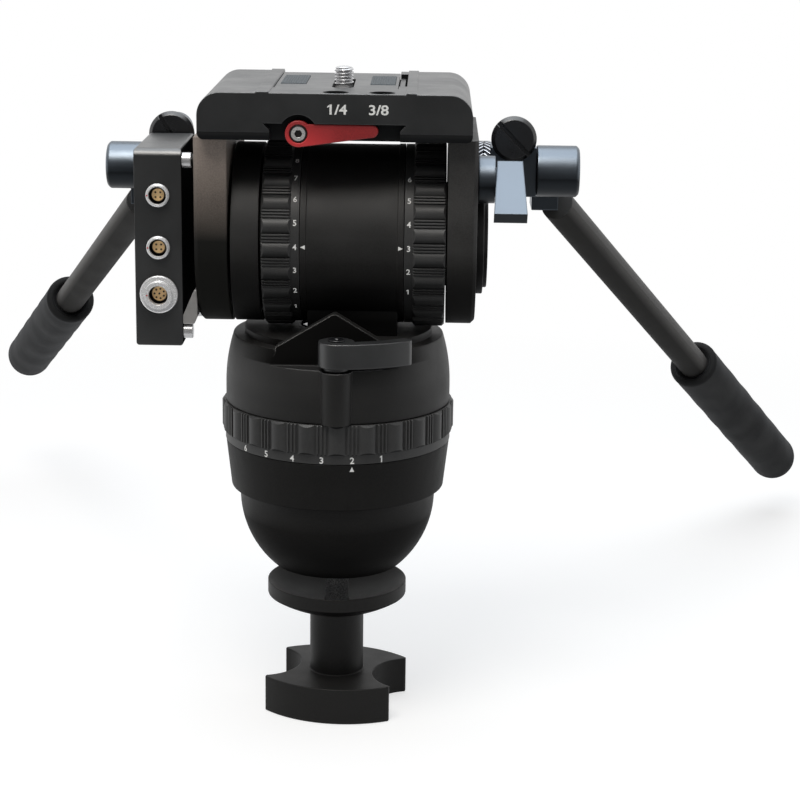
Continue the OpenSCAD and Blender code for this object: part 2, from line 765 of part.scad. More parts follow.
module pan_bearings() {
    color(steel) for (z = [0, pan_bearing_spacing])
        translate([0, 0, pan_bearing_bottom + z]) difference() {
            cylinder(r = pan_bearing_radius, h = pan_bearing_width);
            translate([0, 0, -over]) cylinder(r = spindle_radius, h = pan_bearing_width + 2 * over);
        }
}

// Discs on a hub round the Z axis, from the origin upward
module disc_pack(bore, hub, disc, height, count) {
    first = (height - (count - 1) * damper_pitch - damper_disc) / 2;
    rotate_extrude() {
        translate([bore, 0]) square([hub - bore, height]);
        for (i = [0:count - 1])
            translate([bore, first + i * damper_pitch]) square([disc - bore, damper_disc]);
    }
}

module pan_damper() {
    color("#3a3d42") translate([0, 0, base_hub_top])
        disc_pack(spindle_radius, pan_damper_hub, pan_disc_radius, pan_damper_height, pan_disc_count);
}

module tie_down_stud() {
    stud_top = stud_engagement - ball_depth;
    color(steel) translate([0, 0, stud_end]) cylinder(r = stud_radius, h = stud_top - stud_end);
}

module clamp_cup() {
    color(matte) difference() {
        intersection() {
            sphere(r = cup_radius + cup_wall);
            translate([0, 0, cup_underside]) cylinder(r = cup_rim_radius, h = cup_top - cup_underside);
        }
        sphere(r = cup_radius);
        translate([0, 0, cup_underside - over])
            cylinder(r = stud_radius + running_clearance, h = cup_top - cup_underside);
    }
}

module tie_down_knob() {
    wing_top = knob_bottom + knob_wing_height;
    face_y = knob_face_radius - knob_half_depth;
    hub_top = cup_underside - body_gap;
    color(black) rotate([0, 0, knob_turn]) difference() {
        union() {
            slab_z(knob_bottom, wing_top) difference() {
                intersection() {
                    translate([-knob_reach, -knob_face_radius]) square(2 * [knob_reach, knob_face_radius]);
                    translate([0, face_y]) circle(knob_face_radius);
                    translate([0, -face_y]) circle(knob_face_radius);
                }
                for (s = [-1, 1])
                    translate([s * (knob_waist + knob_hollow_radius), 0]) circle(knob_hollow_radius);
            }
            translate([0, 0, wing_top - over]) cylinder(r = knob_hub_radius, h = hub_top - wing_top + over);
        }
        translate([0, 0, knob_bottom + knob_floor])
            cylinder(r = stud_radius + running_clearance, h = hub_top - knob_bottom);
    }
}

// Outline of a dial ring: groups of three ribs on the number marks, smooth lobes between them
module lobed_outline(peak, valley, lobe) {
    step = 360 / lobe_count;
    circle(valley);
    for (i = [0:lobe_count - 1])
        rotate(i * step) {
            rotate(step / 2) translate([peak - lobe, 0]) circle(lobe);
            for (k = [-1:1])
                rotate(k * rib_pitch) translate([valley - over, -rib_width / 2])
                    square([over + rib_height, rib_width]);
        }
}

// Dial ring from the origin along +Z, with its number band first
module dial_ring(bore, band_radius, band_width, peak, valley, lobe, width) {
    low = peak - lobe_chamfer;
    difference() {
        union() {
            cylinder(r = band_radius, h = width - lobe_chamfer);
            intersection() {
                slab_z(band_width, width) lobed_outline(peak, valley, lobe);
                rotate_extrude() polygon([
                    [0, band_width], [low, band_width], [peak, band_width + lobe_chamfer],
                    [peak, width - lobe_chamfer], [low, width], [0, width]
                ]);
            }
        }
        translate([0, 0, -over]) cylinder(r = bore, h = width + 2 * over);
    }
}

module pan_drag_ring() {
    color(black) translate([0, 0, pan_ring_bottom]) rotate([0, 0, pan_index_angle])
        dial_ring(base_hub_radius + running_clearance, pan_band_radius, pan_band_width, pan_lobe_peak,
            pan_lobe_valley, pan_lobe_radius, pan_ring_height);
}

module counterbalance_ring() {
    color(black) at_tilt_axis() translate([left_ring_end, 0, 0])
        rotate([0, -90, 0]) rotate(counterbalance_turn)
        dial_ring(drum_hub_radius + running_clearance, tilt_band_radius, tilt_band_width, tilt_lobe_peak,
            tilt_lobe_valley, tilt_lobe_radius, counterbalance_ring_width);
}

module tilt_drag_ring() {
    color(black) at_tilt_axis() translate([right_ring_start, 0, 0])
        rotate([0, 90, 0]) rotate(-tilt_drag_turn)
        dial_ring(drum_hub_radius + running_clearance, tilt_band_radius, tilt_band_width, tilt_lobe_peak,
            tilt_lobe_valley, tilt_lobe_radius, tilt_drag_ring_width);
}

// Pointed shield outline with a rounded point
module shield_outline() {
    peak = shield_corner_height + shield_half_width * tan(shield_slope);
    centre = peak - shield_point_radius / cos(shield_slope);
    tangent_x = shield_point_radius * sin(shield_slope);
    tangent_z = centre + shield_point_radius * cos(shield_slope);
    translate([0, centre]) circle(shield_point_radius);
    polygon([
        [-shield_half_width, pan_chamber_top + over], [shield_half_width, pan_chamber_top + over],
        [shield_half_width, shield_corner_height], [tangent_x, tangent_z],
        [-tangent_x, tangent_z], [-shield_half_width, shield_corner_height]
    ]);
}

module housing_outline() {
    translate([0, housing_bottom]) square([housing_radius, housing_shoulder - housing_bottom]);
    intersection() {
        translate([housing_radius - housing_curve, housing_shoulder]) circle(housing_curve, $fn = 360);
        translate([0, housing_shoulder]) square([housing_radius + over, housing_top - housing_shoulder]);
    }
    translate([0, housing_shoulder]) square([housing_pad_radius, housing_pad_top - housing_shoulder]);
}

module pan_housing() {
    wide = 2 * housing_radius;
    color(black) difference() {
        union() {
            difference() {
                rotate_extrude() housing_outline();
                block([-wide, -wide, ledge_height], [wide, -front_flat, housing_pad_top + over]);
            }
            slab_y(-front_flat, shield_thickness - front_flat) shield_outline();
            translate([post_x, -post_y, housing_bottom])
                cylinder(r = post_radius, h = ledge_height - housing_bottom);
        }
        translate([0, 0, housing_bottom - over])
            cylinder(r = pan_chamber_radius, h = pan_chamber_top - housing_bottom + over);
        translate([0, 0, housing_bottom]) cylinder(r = pan_bore, h = housing_pad_top);
        translate([post_x, -post_y, ledge_height - lock_screw_engagement])
            cylinder(r = lock_screw_radius + running_clearance, h = lock_screw_engagement + over);
    }
}

module level_body() {
    color(steel) translate([0, level_y, housing_pad_top]) difference() {
        cylinder(r = level_radius, h = level_height);
        translate([0, 0, level_wall]) cylinder(r = level_radius - level_wall, h = level_height);
    }
}

module level_glass() {
    color("#b8d36a") translate([0, level_y, housing_pad_top + level_wall])
        cylinder(r = level_radius - level_wall, h = level_height - level_wall);
}

module tilt_drum() {
    color(black) at_tilt_axis() difference() {
        union() {
            rod_x(drum_left, drum_right, drum_radius);
            rod_x(drum_left, drum_left + index_band_width, index_band_radius);
            rod_x(drum_right - index_band_width, drum_right, index_band_radius);
            rod_x(outer_drum_right, right_hub_end, drum_hub_radius);
            block([drum_left + index_band_width, -drum_foot_half_depth, housing_pad_top - tilt_axis_height],
                [drum_right - index_band_width, drum_foot_half_depth, 0]);
        }
        rod_x(outer_drum_right - over, right_hub_end + over, shaft_room);
        rod_x(outer_drum_right - over, outer_drum_right + spring_width + over, tilt_chamber_radius);
        rod_x(tilt_chamber_left, tilt_chamber_left + tilt_chamber_width, tilt_chamber_radius);
        rod_x(right_hub_end - tilt_bearing_width - over, right_hub_end + over, tilt_bore);
    }
}

module left_drum() {
    color(black) at_tilt_axis() difference() {
        rod_x(outer_drum_left, outer_drum_right, index_band_radius);
        rod_x(outer_drum_left - over, outer_drum_right + over, shaft_room);
        rod_x(outer_drum_left - over, outer_drum_left + tilt_bearing_width + over, tilt_bore);
    }
}

// Close-wound torsion spring drawn as its stacked turns
module counterbalance_spring() {
    turns = floor(spring_width / (2 * spring_wire));
    coil_radius = tilt_chamber_radius - spring_wire;
    color(steel) at_tilt_axis() translate([outer_drum_right, 0, 0]) rotate([0, 90, 0]) rotate_extrude() {
        translate([coil_radius, 0]) square([spring_wire, spring_width]);
        for (i = [0:turns - 1])
            translate([coil_radius, spring_wire * (2 * i + 1)]) circle(spring_wire - running_clearance);
    }
}

module lock_outline() {
    middle = lock_inner_radius + lock_thickness / 2;
    reach = 2 * middle;
    start_angle = atan(post_x / post_y);
    translate([post_x, -post_y]) circle(lock_boss_radius);
    intersection() {
        difference() {
            circle(lock_inner_radius + lock_thickness);
            circle(lock_inner_radius);
        }
        polygon([
            [0, 0], [reach * sin(start_angle), -reach * cos(start_angle)],
            [reach * sin(lock_tip_angle), -reach * cos(lock_tip_angle)]
        ]);
    }
    rotate(lock_tip_angle) translate([0, -middle]) circle(lock_thickness / 2);
}

module pan_lock_lever() {
    foot = ledge_height + body_gap;
    color(black) difference() {
        union() {
            translate([post_x, -post_y, foot]) cylinder(r = lock_hub_radius, h = lever_bottom + over - foot);
            slab_z(lever_bottom, lever_bottom + lock_height) lock_outline();
        }
        translate([post_x, -post_y, ledge_height])
            cylinder(r = lock_screw_radius, h = lock_rise + lock_height + over);
    }
}

module pan_lock_screw() {
    shank_bottom = ledge_height - lock_screw_engagement + over;
    head_bottom = lever_bottom + lock_height;
    color(steel) translate([post_x, -post_y, 0]) {
        translate([0, 0, shank_bottom]) cylinder(r = lock_screw_radius, h = head_bottom - shank_bottom);
        difference() {
            translate([0, 0, head_bottom]) cylinder(r = lock_screw_head, h = lock_screw_head_height);
            translate([0, 0, head_bottom + lock_screw_head_height / 2])
                cylinder(r = lock_screw_radius / 2, h = lock_screw_head_height, $fn = 6);
        }
    }
}

module tilt_shaft() {
    color(steel) at_tilt_axis() rod_x(left_arm_outer, right_arm_outer, tilt_shaft_radius);
}

module tilt_bearings() {
    left = outer_drum_left + body_gap;
    right = right_hub_end - tilt_bearing_width - body_gap;
    color(steel) at_tilt_axis() for (x = [left, right])
        difference() {
            rod_x(x, x + tilt_bearing_width, tilt_bearing_radius);
            rod_x(x - over, x + tilt_bearing_width + over, tilt_shaft_radius);
        }
}

module tilt_damper() {
    width = tilt_chamber_width - 2 * over;
    color("#3a3d42") at_tilt_axis() translate([tilt_chamber_left + over, 0, 0]) rotate([0, 90, 0])
        disc_pack(tilt_shaft_radius, tilt_damper_hub, tilt_disc_radius, width, tilt_disc_count);
}

// Arm from its inner to its outer face along +X, with the tilt axis at the origin
module arm(width, boss) {
    straight = width - arm_chamfer;
    difference() {
        union() {
            rod_x(0, straight, arm_radius);
            translate([straight, 0, 0]) rotate([0, 90, 0])
                cylinder(r1 = arm_radius, r2 = arm_radius - arm_chamfer, h = arm_chamfer);
            slab_z(0, platform_bottom) polygon([
                [0, -arm_radius], [straight, -arm_radius], [width, arm_chamfer - arm_radius],
                [width, 0], [0, 0]
            ]);
            slab_z(arm_rear_height, platform_bottom) polygon([
                [0, -over], [width, -over], [width, arm_rear - arm_chamfer],
                [straight, arm_rear], [0, arm_rear]
            ]);
            slab_z(0, arm_rear_height + over) polygon([
                [0, -over], [width, -over], [width, arm_radius - arm_chamfer],
                [straight, arm_radius], [0, arm_radius]
            ]);
            translate([0, clamp_y, clamp_z]) rod_x(0, width, rosette_radius);
            rod_x(-boss, over, arm_boss_radius);
        }
        rod_x(-boss - over, width + over, tilt_shaft_radius);
    }
}

module left_arm() {
    color("#2b2724") at_tilt_axis() translate([left_arm_inner, 0, 0]) mirror([1, 0, 0])
        arm(left_arm_inner - left_arm_outer, outer_drum_left - body_gap - left_arm_inner);
}

module right_arm() {
    color(black) at_tilt_axis() difference() {
        translate([right_arm_inner, 0, 0])
            arm(right_arm_outer - right_arm_inner, right_arm_inner - right_hub_end - body_gap);
        translate([right_arm_outer - tilt_lock_pin_length, -tilt_lock_y, tilt_lock_z])
            rod_x(-over, tilt_lock_pin_length + over, tilt_lock_pin + running_clearance);
    }
}

module arm_cap() {
    color(black) at_tilt_axis() translate([right_arm_outer, 0, 0]) {
        rod_x(0, cap_thickness, cap_radius);
        rod_x(0, cap_thickness + cap_face_height, cap_face_radius);
    }
}

module platform_outline() {
    r0 = platform_bottom_radius;
    r1 = platform_top_radius;
    w = platform_half_width;
    translate([r1 - w, platform_bottom + r0]) square([2 * (w - r1), platform_top - platform_bottom - r0]);
    translate([-w, platform_bottom + r0]) square([2 * w, platform_top - platform_bottom - r0 - r1]);
    translate([r0 - w, platform_bottom]) square([2 * (w - r0), r0 + over]);
    for (s = [-1, 1]) {
        translate([s * (w - r1), platform_top - r1]) circle(r1);
        translate([s * (w - r0), platform_bottom + r0]) circle(r0);
    }
    for (rail = [left_rail, right_rail])
        translate([rail[0], platform_top - over]) square([rail[1] - rail[0], over + rail_height]);
}

// Outline of the camera plate's dovetail, grown sideways by a play
module dovetail_outline(play) {
    left = plate_edges[0] - play;
    right = plate_edges[1] + play;
    slope_top = plate_bottom + dovetail_foot + dovetail_rise;
    polygon([
        [left - dovetail_spread, plate_bottom - play], [right + dovetail_spread, plate_bottom - play],
        [right + dovetail_spread, plate_bottom + dovetail_foot], [right, slope_top],
        [right, plate_top + play], [left, plate_top + play],
        [left, slope_top], [left - dovetail_spread, plate_bottom + dovetail_foot]
    ]);
}

module recess_outline() {
    top = platform_bottom + recess_height;
    low = recess_half_width - recess_inset;
    polygon([
        [recess_half_width, top], [-recess_half_width, top], [-low, top - recess_inset],
        [-low, platform_bottom - over], [low, platform_bottom - over], [low, top - recess_inset]
    ]);
    translate([quick_x, quick_z]) circle(quick_head_radius + quick_head_room);
}

module platform() {
    channel_front = plate_ends[0] - body_gap;
    color(black) at_tilt_axis() difference() {
        slab_y(platform_front, platform_rear) platform_outline();
        slab_x(-platform_half_width - over, platform_half_width + over)
            translate([platform_front, platform_bottom]) polygon([
                [-over, -over], [platform_bevel[0] + over * platform_bevel[0] / platform_bevel[1], -over],
                [-over, platform_bevel[1] + over * platform_bevel[1] / platform_bevel[0]]
            ]);
        slab_y(platform_front - over, platform_front + recess_depth) recess_outline();
        slab_y(channel_front, platform_rear + over) {
            dovetail_outline(body_gap);
            translate([plate_edges[0] - body_gap, plate_top])
                square([plate_edges[1] - plate_edges[0] + 2 * body_gap, over + rail_height]);
        }
        block([plate_edges[1], jaw_ends[0] - body_gap, plate_bottom - body_gap],
            [right_rail[0], jaw_ends[1] + body_gap, platform_top + over]);
        for (x = well_places)
            translate([x, well_y, well_floor]) cylinder(r = well_radius, h = well_depth + over);
        for (i = [0, 1])
            translate([well_places[i], well_y, well_floor - spare_shank_length])
                cylinder(r = spare_shanks[i], h = spare_shank_length + over);
        translate([quick_x, 0, quick_z])
            rod_y(platform_front, platform_front + recess_depth + quick_screw_engagement,
                quick_screw_radius + running_clearance);
    }
}

module spare_screws() {
    color(steel) at_tilt_axis() for (i = [0, 1])
        translate([well_places[i], well_y, well_floor]) difference() {
            union() {
                cylinder(r = spare_head_radius, h = spare_head_height);
                translate([0, 0, -spare_shank_length])
                    cylinder(r = spare_shanks[i], h = spare_shank_length + over);
            }
            block([-spare_head_radius, -spare_slot / 2, spare_head_height / 2],
                [spare_head_radius, spare_slot / 2, spare_head_height + over]);
        }
}

module at_quick_pivot() { at_tilt_axis() translate([quick_x, 0, quick_z]) children(); }

module quick_lever() {
    color("#c3272b") at_quick_pivot() difference() {
        slab_y(lever_front, lever_front + quick_thickness)
            lever_outline(quick_length, quick_rise, quick_head_radius, quick_tip_radius);
        rod_y(lever_front - over, lever_front + quick_counterbore, quick_screw_head + body_gap);
        rod_y(lever_front - over, lever_front + quick_thickness + over, quick_screw_radius);
    }
}

module quick_lever_screw() {
    head_front = lever_front + body_gap;
    shank_end = platform_front + recess_depth + quick_screw_engagement - over;
    color(steel) at_quick_pivot() difference() {
        union() {
            rod_y(head_front, lever_front + quick_counterbore, quick_screw_head);
            rod_y(head_front, shank_end, quick_screw_radius);
        }
        translate([0, head_front - over, 0]) rotate([-90, 0, 0])
            cylinder(d = quick_hex / cos(30), h = over + quick_counterbore / 2, $fn = 6);
    }
}

module plate_jaw() {
    foot = plate_bottom + dovetail_foot;
    top = plate_top - jaw_set_down;
    color(matte) at_tilt_axis() slab_y(jaw_ends[0], jaw_ends[1]) polygon([
        [jaw_inner + dovetail_spread, plate_bottom], [jaw_outer, plate_bottom], [jaw_outer, top],
        [jaw_inner, top], [jaw_inner, foot + dovetail_rise], [jaw_inner + dovetail_spread, foot]
    ]);
}

// Box that one rubber pad fills, from its pocket's floor up to a given height over the plate
module pad_block(pad, height) {
    block([pad[0], pad_ends[0], plate_top - pad_pocket], [pad[1], pad_ends[1], plate_top + height]);
}

module camera_plate() {
    color(matte) at_tilt_axis() difference() {
        slab_y(plate_ends[0], plate_ends[1]) dovetail_outline(0);
        slab_z(plate_bottom - over, plate_top + over) slot_outline(slot_half_width, slot_ends);
        slab_z(plate_bottom - over, plate_bottom + screw_head_height + 2 * body_gap)
            slot_outline(screw_head_radius + slot_room, slot_ends);
        pad_block(left_pad, over);
        pad_block(right_pad, over);
    }
}

module plate_pads() {
    color("#1f2a30") at_tilt_axis() for (pad = [left_pad, right_pad])
        difference() {
            pad_block(pad, pad_height);
            for (i = [1:pad_groove_count]) {
                x = pad[0] + i * (pad[1] - pad[0]) / (pad_groove_count + 1);
                block([x - pad_groove / 2, pad_ends[0] - over, plate_top],
                    [x + pad_groove / 2, pad_ends[1] + over, plate_top + pad_height + over]);
            }
        }
}

// Camera screw turned about its axis: head, plain neck and crests of its thread
module camera_screw() {
    root = screw_radius - screw_thread_depth;
    head_bottom = plate_bottom + body_gap;
    neck_top = plate_top - thread_drop;
    color(steel) at_tilt_axis() translate([screw_x, screw_y, 0]) rotate_extrude() {
        translate([0, head_bottom]) square([screw_head_radius, screw_head_height]);
        translate([0, head_bottom]) square([screw_neck_radius, neck_top - head_bottom]);
        translate([0, neck_top]) square([root, (screw_crests + crest[0]) * screw_pitch]);
        for (i = [0:screw_crests - 1])
            translate([0, neck_top + i * screw_pitch]) polygon([
                [0, 0], [root, 0], [screw_radius, crest[0] * screw_pitch],
                [screw_radius, crest[1] * screw_pitch], [root, screw_pitch], [0, screw_pitch]
            ]);
    }
}

module tilt_lock_lever() {
    hub_start = right_arm_outer + body_gap;
    hub_end = hub_start + tilt_lock_width;
    root = hub_end + over;
    spread = (paddle_end_width - paddle_root_width) / 2;
    color(black) at_tilt_axis() translate([0, -tilt_lock_y, tilt_lock_z]) {
        rod_x(hub_start, hub_end, tilt_lock_hub);
        rod_x(right_arm_outer + over - tilt_lock_pin_length, hub_start + over, tilt_lock_pin);
        rod_x(hub_end - over, root + paddle_neck, paddle_neck);
        rotate([paddle_slope, 0, 0]) slab_z(paddle_offset, paddle_offset + paddle_thickness) polygon([
            [root - spread, -paddle_length], [root + paddle_root_width + spread, -paddle_length],
            [root + paddle_root_width, paddle_back], [root, paddle_back]
        ]);
    }
}

// Places of the standoffs, with the box's right side at x = 0
module at_standoffs(heights) {
    for (y = [-standoff_y, standoff_y], z = heights)
        translate([box_sides[1], y, z]) children();
}

module encoder_box() {
    sides = [box_sides[0] - over, box_sides[1] + over];
    edge_y = box_front_edge - box_half_depth;
    edge_z = box_heights[1] - box_front_edge;
    color(black) at_tilt_axis() difference() {
        slab_y(-box_half_depth, box_half_depth)
            rounded_rect(box_sides[0], box_sides[1], box_heights[0], box_heights[1], box_edge);
        difference() {
            block([sides[0], -box_half_depth - over, edge_z], [sides[1], edge_y, box_heights[1] + over]);
            translate([0, edge_y - box_front_break, edge_z + box_front_break])
                rod_x(sides[0] - over, sides[1] + over, box_front_edge);
        }
        for (z = small_socket_heights)
            translate([socket_x, 0, z])
                rod_y(-box_half_depth - over, socket_barrel_length - box_half_depth, small_barrel);
        translate([socket_x, 0, large_socket_height])
            rod_y(-box_half_depth - over, socket_barrel_length - box_half_depth, large_barrel);
    }
}

module box_bracket() {
    plate_outer = left_arm_outer - bracket_thickness;
    lug_y = box_half_depth - lug_thickness / 2;
    color("#a9a8a6") at_tilt_axis() {
        block([plate_outer, -lug_y, lug_corner], [left_arm_outer, lug_y, bracket_top]);
        for (y = [-lug_y, lug_y])
            slab_y(y - lug_thickness / 2, y + lug_thickness / 2) polygon([
                [left_arm_outer, lug_corner], [left_arm_outer, bracket_top], [plate_outer, bracket_top],
                [box_sides[1], lug_heights[0]], [box_sides[1], lug_heights[1]], [plate_outer, lug_heights[1]]
            ]);
    }
}

module standoff_screws() {
    color(steel) at_tilt_axis() at_standoffs(standoff_heights) rod_x(0, standoff_head, standoff_radius);
}

module standoff_spacers() {
    color(black) at_tilt_axis() at_standoffs([standoff_heights[0]])
        rod_x(standoff_head, left_arm_outer - box_sides[1], spacer_radius);
}

// Turns an outline of radius and depth about a socket's axis, with the box's front face at depth 0
module at_socket(z) {
    at_tilt_axis() translate([socket_x, -box_half_depth, z]) rotate([-90, 0, 0]) children();
}

// Shell of a socket, with a raised ring in front of its flange where it has one
module socket_shell(flange, collar, collar_height, bore, barrel) {
    front = -socket_flange_thickness;
    bevel = socket_flange_thickness / 4;
    rotate_extrude() difference() {
        union() {
            polygon([[0, front], [flange - bevel, front], [flange, front + bevel], [flange, 0], [0, 0]]);
            translate([0, front - collar_height]) square([collar, collar_height + bevel]);
            translate([0, -bevel]) square([barrel, socket_barrel_length + bevel]);
        }
        translate([0, front - collar_height - over])
            square([bore, socket_barrel_length + collar_height - front + 2 * over]);
    }
}

// Contact insert with its holes, filling the back of a socket's bore
module contact_insert(bore, contacts, contact_circle) {
    step = insert_depth + insert_step;
    difference() {
        union() {
            translate([0, 0, insert_depth])
                cylinder(r = bore - insert_recess, h = socket_barrel_length - insert_depth);
            translate([0, 0, step]) cylinder(r = bore, h = socket_barrel_length - step);
        }
        for (i = [0:contacts - 1])
            rotate([0, 0, (i + 0.5) * 360 / contacts]) translate([contact_circle, 0, insert_depth - over])
                cylinder(r = contact_radius, h = insert_step + over);
        if (contacts == large_contacts)
            translate([0, 0, insert_depth - over]) cylinder(r = contact_radius, h = insert_step + over);
    }
}

module small_sockets() {
    color(steel) for (z = small_socket_heights)
        at_socket(z)
            socket_shell(small_flange, small_barrel, small_collar_height, small_bore, small_barrel);
}

module small_inserts() {
    color(gold) for (z = small_socket_heights)
        at_socket(z) contact_insert(small_bore, small_contacts, small_contact_circle);
}

module large_socket() {
    color(steel) at_socket(large_socket_height)
        socket_shell(large_flange, large_collar, large_collar_height, large_bore, large_barrel);
}

module large_insert() {
    color(gold) at_socket(large_socket_height)
        contact_insert(large_bore, large_contacts, large_contact_circle);
}

// Moves its children to the clamps' pivot, mirrored to the left for side -1
module at_clamp(side) {
    at_tilt_axis() mirror([side < 0 ? 1 : 0, 0, 0]) translate([0, clamp_y, clamp_z]) children();
}

// Radial V teeth cut into a rosette's face at the given x, with the outside on the +1 or -1 side
module rosette_cuts(x, outside) {
    side = 2 * rosette_tooth * sqrt(2);
    for (i = [0:rosette_teeth - 1])
        rotate([(i + 0.5) * 360 / rosette_teeth, 0, 0])
            translate([x + outside * rosette_tooth, 0, rosette_radius / 2 + over])
                rotate([0, 0, 45]) translate([-side / 2, -side / 2, 0]) cube([side, side, rosette_radius]);
}

module fixed_rosette(side, arm_face) {
    color(steel) at_clamp(side) difference() {
        rod_x(arm_face, rosette_face, rosette_radius);
        rod_x(rosette_face - knob_rod_reach - over, rosette_face + over, knob_rod + running_clearance);
        rosette_cuts(rosette_face, 1);
    }
}

module bar_rosette(side) {
    start = rosette_face + body_gap;
    color(steel) at_clamp(side) difference() {
        rod_x(start, clamp_inner, rosette_radius);
        rod_x(start - over, clamp_inner + over, knob_rod + running_clearance);
        rosette_cuts(start, -1);
    }
}

// Bar direction frame: +Z runs along the bar from its reference point
module along_bar(point, angles) {
    side = sign(point[0]);
    at_tilt_axis() translate(point) rotate([0, 0, -side * angles[0]])
        rotate([-90 - angles[1], 0, 0]) children();
}

module bar_clamp(side, point, angles) {
    top = clamp_bottom - clamp_z;
    rear = bar_socket_ends[0] - clamp_y;
    socket_rear = bar_socket_ends[1] - clamp_y;
    socket_top = bar_socket_heights[1] - clamp_z;
    color(black) difference() {
        at_clamp(side) {
            slab_y(-clamp_half_depth, rear + over) {
                translate([clamp_inner, top]) square([clamp_width, clamp_shoulder - top]);
                translate([clamp_middle, coin_height]) circle(clamp_crown);
            }
            block([bar_link[0], rear, bar_link[1] - clamp_z],
                [bar_socket_sides[0] + over, socket_rear, socket_top]);
            block([bar_socket_sides[0], rear, bar_socket_heights[0] - clamp_z],
                [bar_socket_sides[1], socket_rear, socket_top]);
        }
        at_clamp(side) {
            rod_x(clamp_inner - over, clamp_outer + over, knob_rod + running_clearance);
            translate([clamp_middle, 0, coin_height])
                rod_y(-clamp_half_depth - over, coin_engagement + over - clamp_half_depth,
                    coin_shank + running_clearance);
        }
        along_bar(point, angles) translate([0, 0, tube_start]) cylinder(r = tube_radius, h = bar_length);
    }
}

module bar_tube(point, angles) {
    color(matte) along_bar(point, angles) translate([0, 0, tube_start])
        cylinder(r = tube_radius, h = bar_length - tube_set_back - tube_start);
}

module bar_grip(point, angles) {
    near = bar_length - grip_length;
    dome = bar_length - grip_radius;
    inner = grip_radius - grip_edge;
    lip = tube_radius + grip_recess_width;
    color("#1a1c20") along_bar(point, angles) rotate_extrude() {
        translate([tube_radius, near + grip_edge])
            square([grip_radius - tube_radius, dome - near - grip_edge]);
        translate([lip, near]) square([inner - lip, grip_edge + over]);
        translate([tube_radius, near + grip_recess]) square([inner - tube_radius, grip_edge]);
        translate([inner, near + grip_edge]) circle(grip_edge);
        translate([0, bar_length - tube_set_back])
            square([tube_radius + over, dome - bar_length + tube_set_back]);
        intersection() {
            translate([0, dome]) circle(grip_radius);
            translate([0, dome]) square(grip_radius + over);
        }
    }
}

module clamp_knob(side) {
    start = clamp_outer + body_gap;
    end = start + knob_length;
    radius = knob_radii[side < 0 ? 0 : 1];
    color(black) at_clamp(side) {
        rod_x(start, end - knob_chamfer, radius);
        translate([end - knob_chamfer, 0, 0]) rotate([0, 90, 0])
            cylinder(r1 = radius, r2 = radius - knob_chamfer, h = knob_chamfer);
        rod_x(rosette_face - knob_rod_reach, start + over, knob_rod);
    }
}

module coin_screw(side, turn) {
    back = -clamp_half_depth - body_gap;
    front = back - coin_thickness;
    end = coin_engagement - clamp_half_depth;
    color(black) at_clamp(side) translate([clamp_middle, 0, coin_height]) difference() {
        rotate([-90, 0, 0]) rotate_extrude() polygon([
            [0, front], [coin_radius - coin_rim, front], [coin_radius, front + coin_rim], [coin_radius, back],
            [coin_shank, back], [coin_shank, end], [0, end]
        ]);
        rotate([0, turn, 0]) block([-coin_radius - over, front - over, -coin_slot / 2],
            [coin_radius + over, front + coin_slot_depth, coin_slot / 2]);
    }
}

module rosette_left() { fixed_rosette(-1, -left_arm_outer); }

module rosette_right() { fixed_rosette(1, right_arm_outer); }

module bar_rosette_left() { bar_rosette(-1); }

module bar_rosette_right() { bar_rosette(1); }

module clamp_left() { bar_clamp(-1, left_bar_point, left_bar_angles); }

module clamp_right() { bar_clamp(1, right_bar_point, right_bar_angles); }

module tube_left() { bar_tube(left_bar_point, left_bar_angles); }

module tube_right() { bar_tube(right_bar_point, right_bar_angles); }

module grip_left() { bar_grip(left_bar_point, left_bar_angles); }

module grip_right() { bar_grip(right_bar_point, right_bar_angles); }

module clamp_knob_left() { clamp_knob(-1); }

module clamp_knob_right() { clamp_knob(1); }

module coin_screw_left() { coin_screw(-1, coin_turns[0]); }

module coin_screw_right() { coin_screw(1, coin_turns[1]); }

half_ball();
base_bolts();
base_ring();
pan_spindle();
spindle_nut();
pan_bearings();
pan_damper();
tie_down_stud();
clamp_cup();
tie_down_knob();
pan_drag_ring();
pan_housing();
level_body();
level_glass();
tilt_drum();
left_drum();
counterbalance_spring();
pan_lock_lever();
pan_lock_screw();
counterbalance_ring();
tilt_drag_ring();
tilt_shaft();
tilt_bearings();
tilt_damper();
left_arm();
right_arm();
arm_cap();
platform();
spare_screws();
rosette_left();
rosette_right();
encoder_box();
box_bracket();
standoff_screws();
standoff_spacers();
small_sockets();
small_inserts();
large_socket();
large_insert();
tilt_lock_lever();
quick_lever();
quick_lever_screw();
plate_jaw();
camera_plate();
plate_pads();
camera_screw();
bar_rosette_left();
bar_rosette_right();
clamp_left();
clamp_right();
tube_left();
tube_right();
grip_left();
grip_right();
clamp_knob_left();
clamp_knob_right();
coin_screw_left();
coin_screw_right();
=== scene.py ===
"""Finishes, markings and soft pieces of a fluid video head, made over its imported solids."""

import math

import bpy
from mathutils import Matrix, Vector


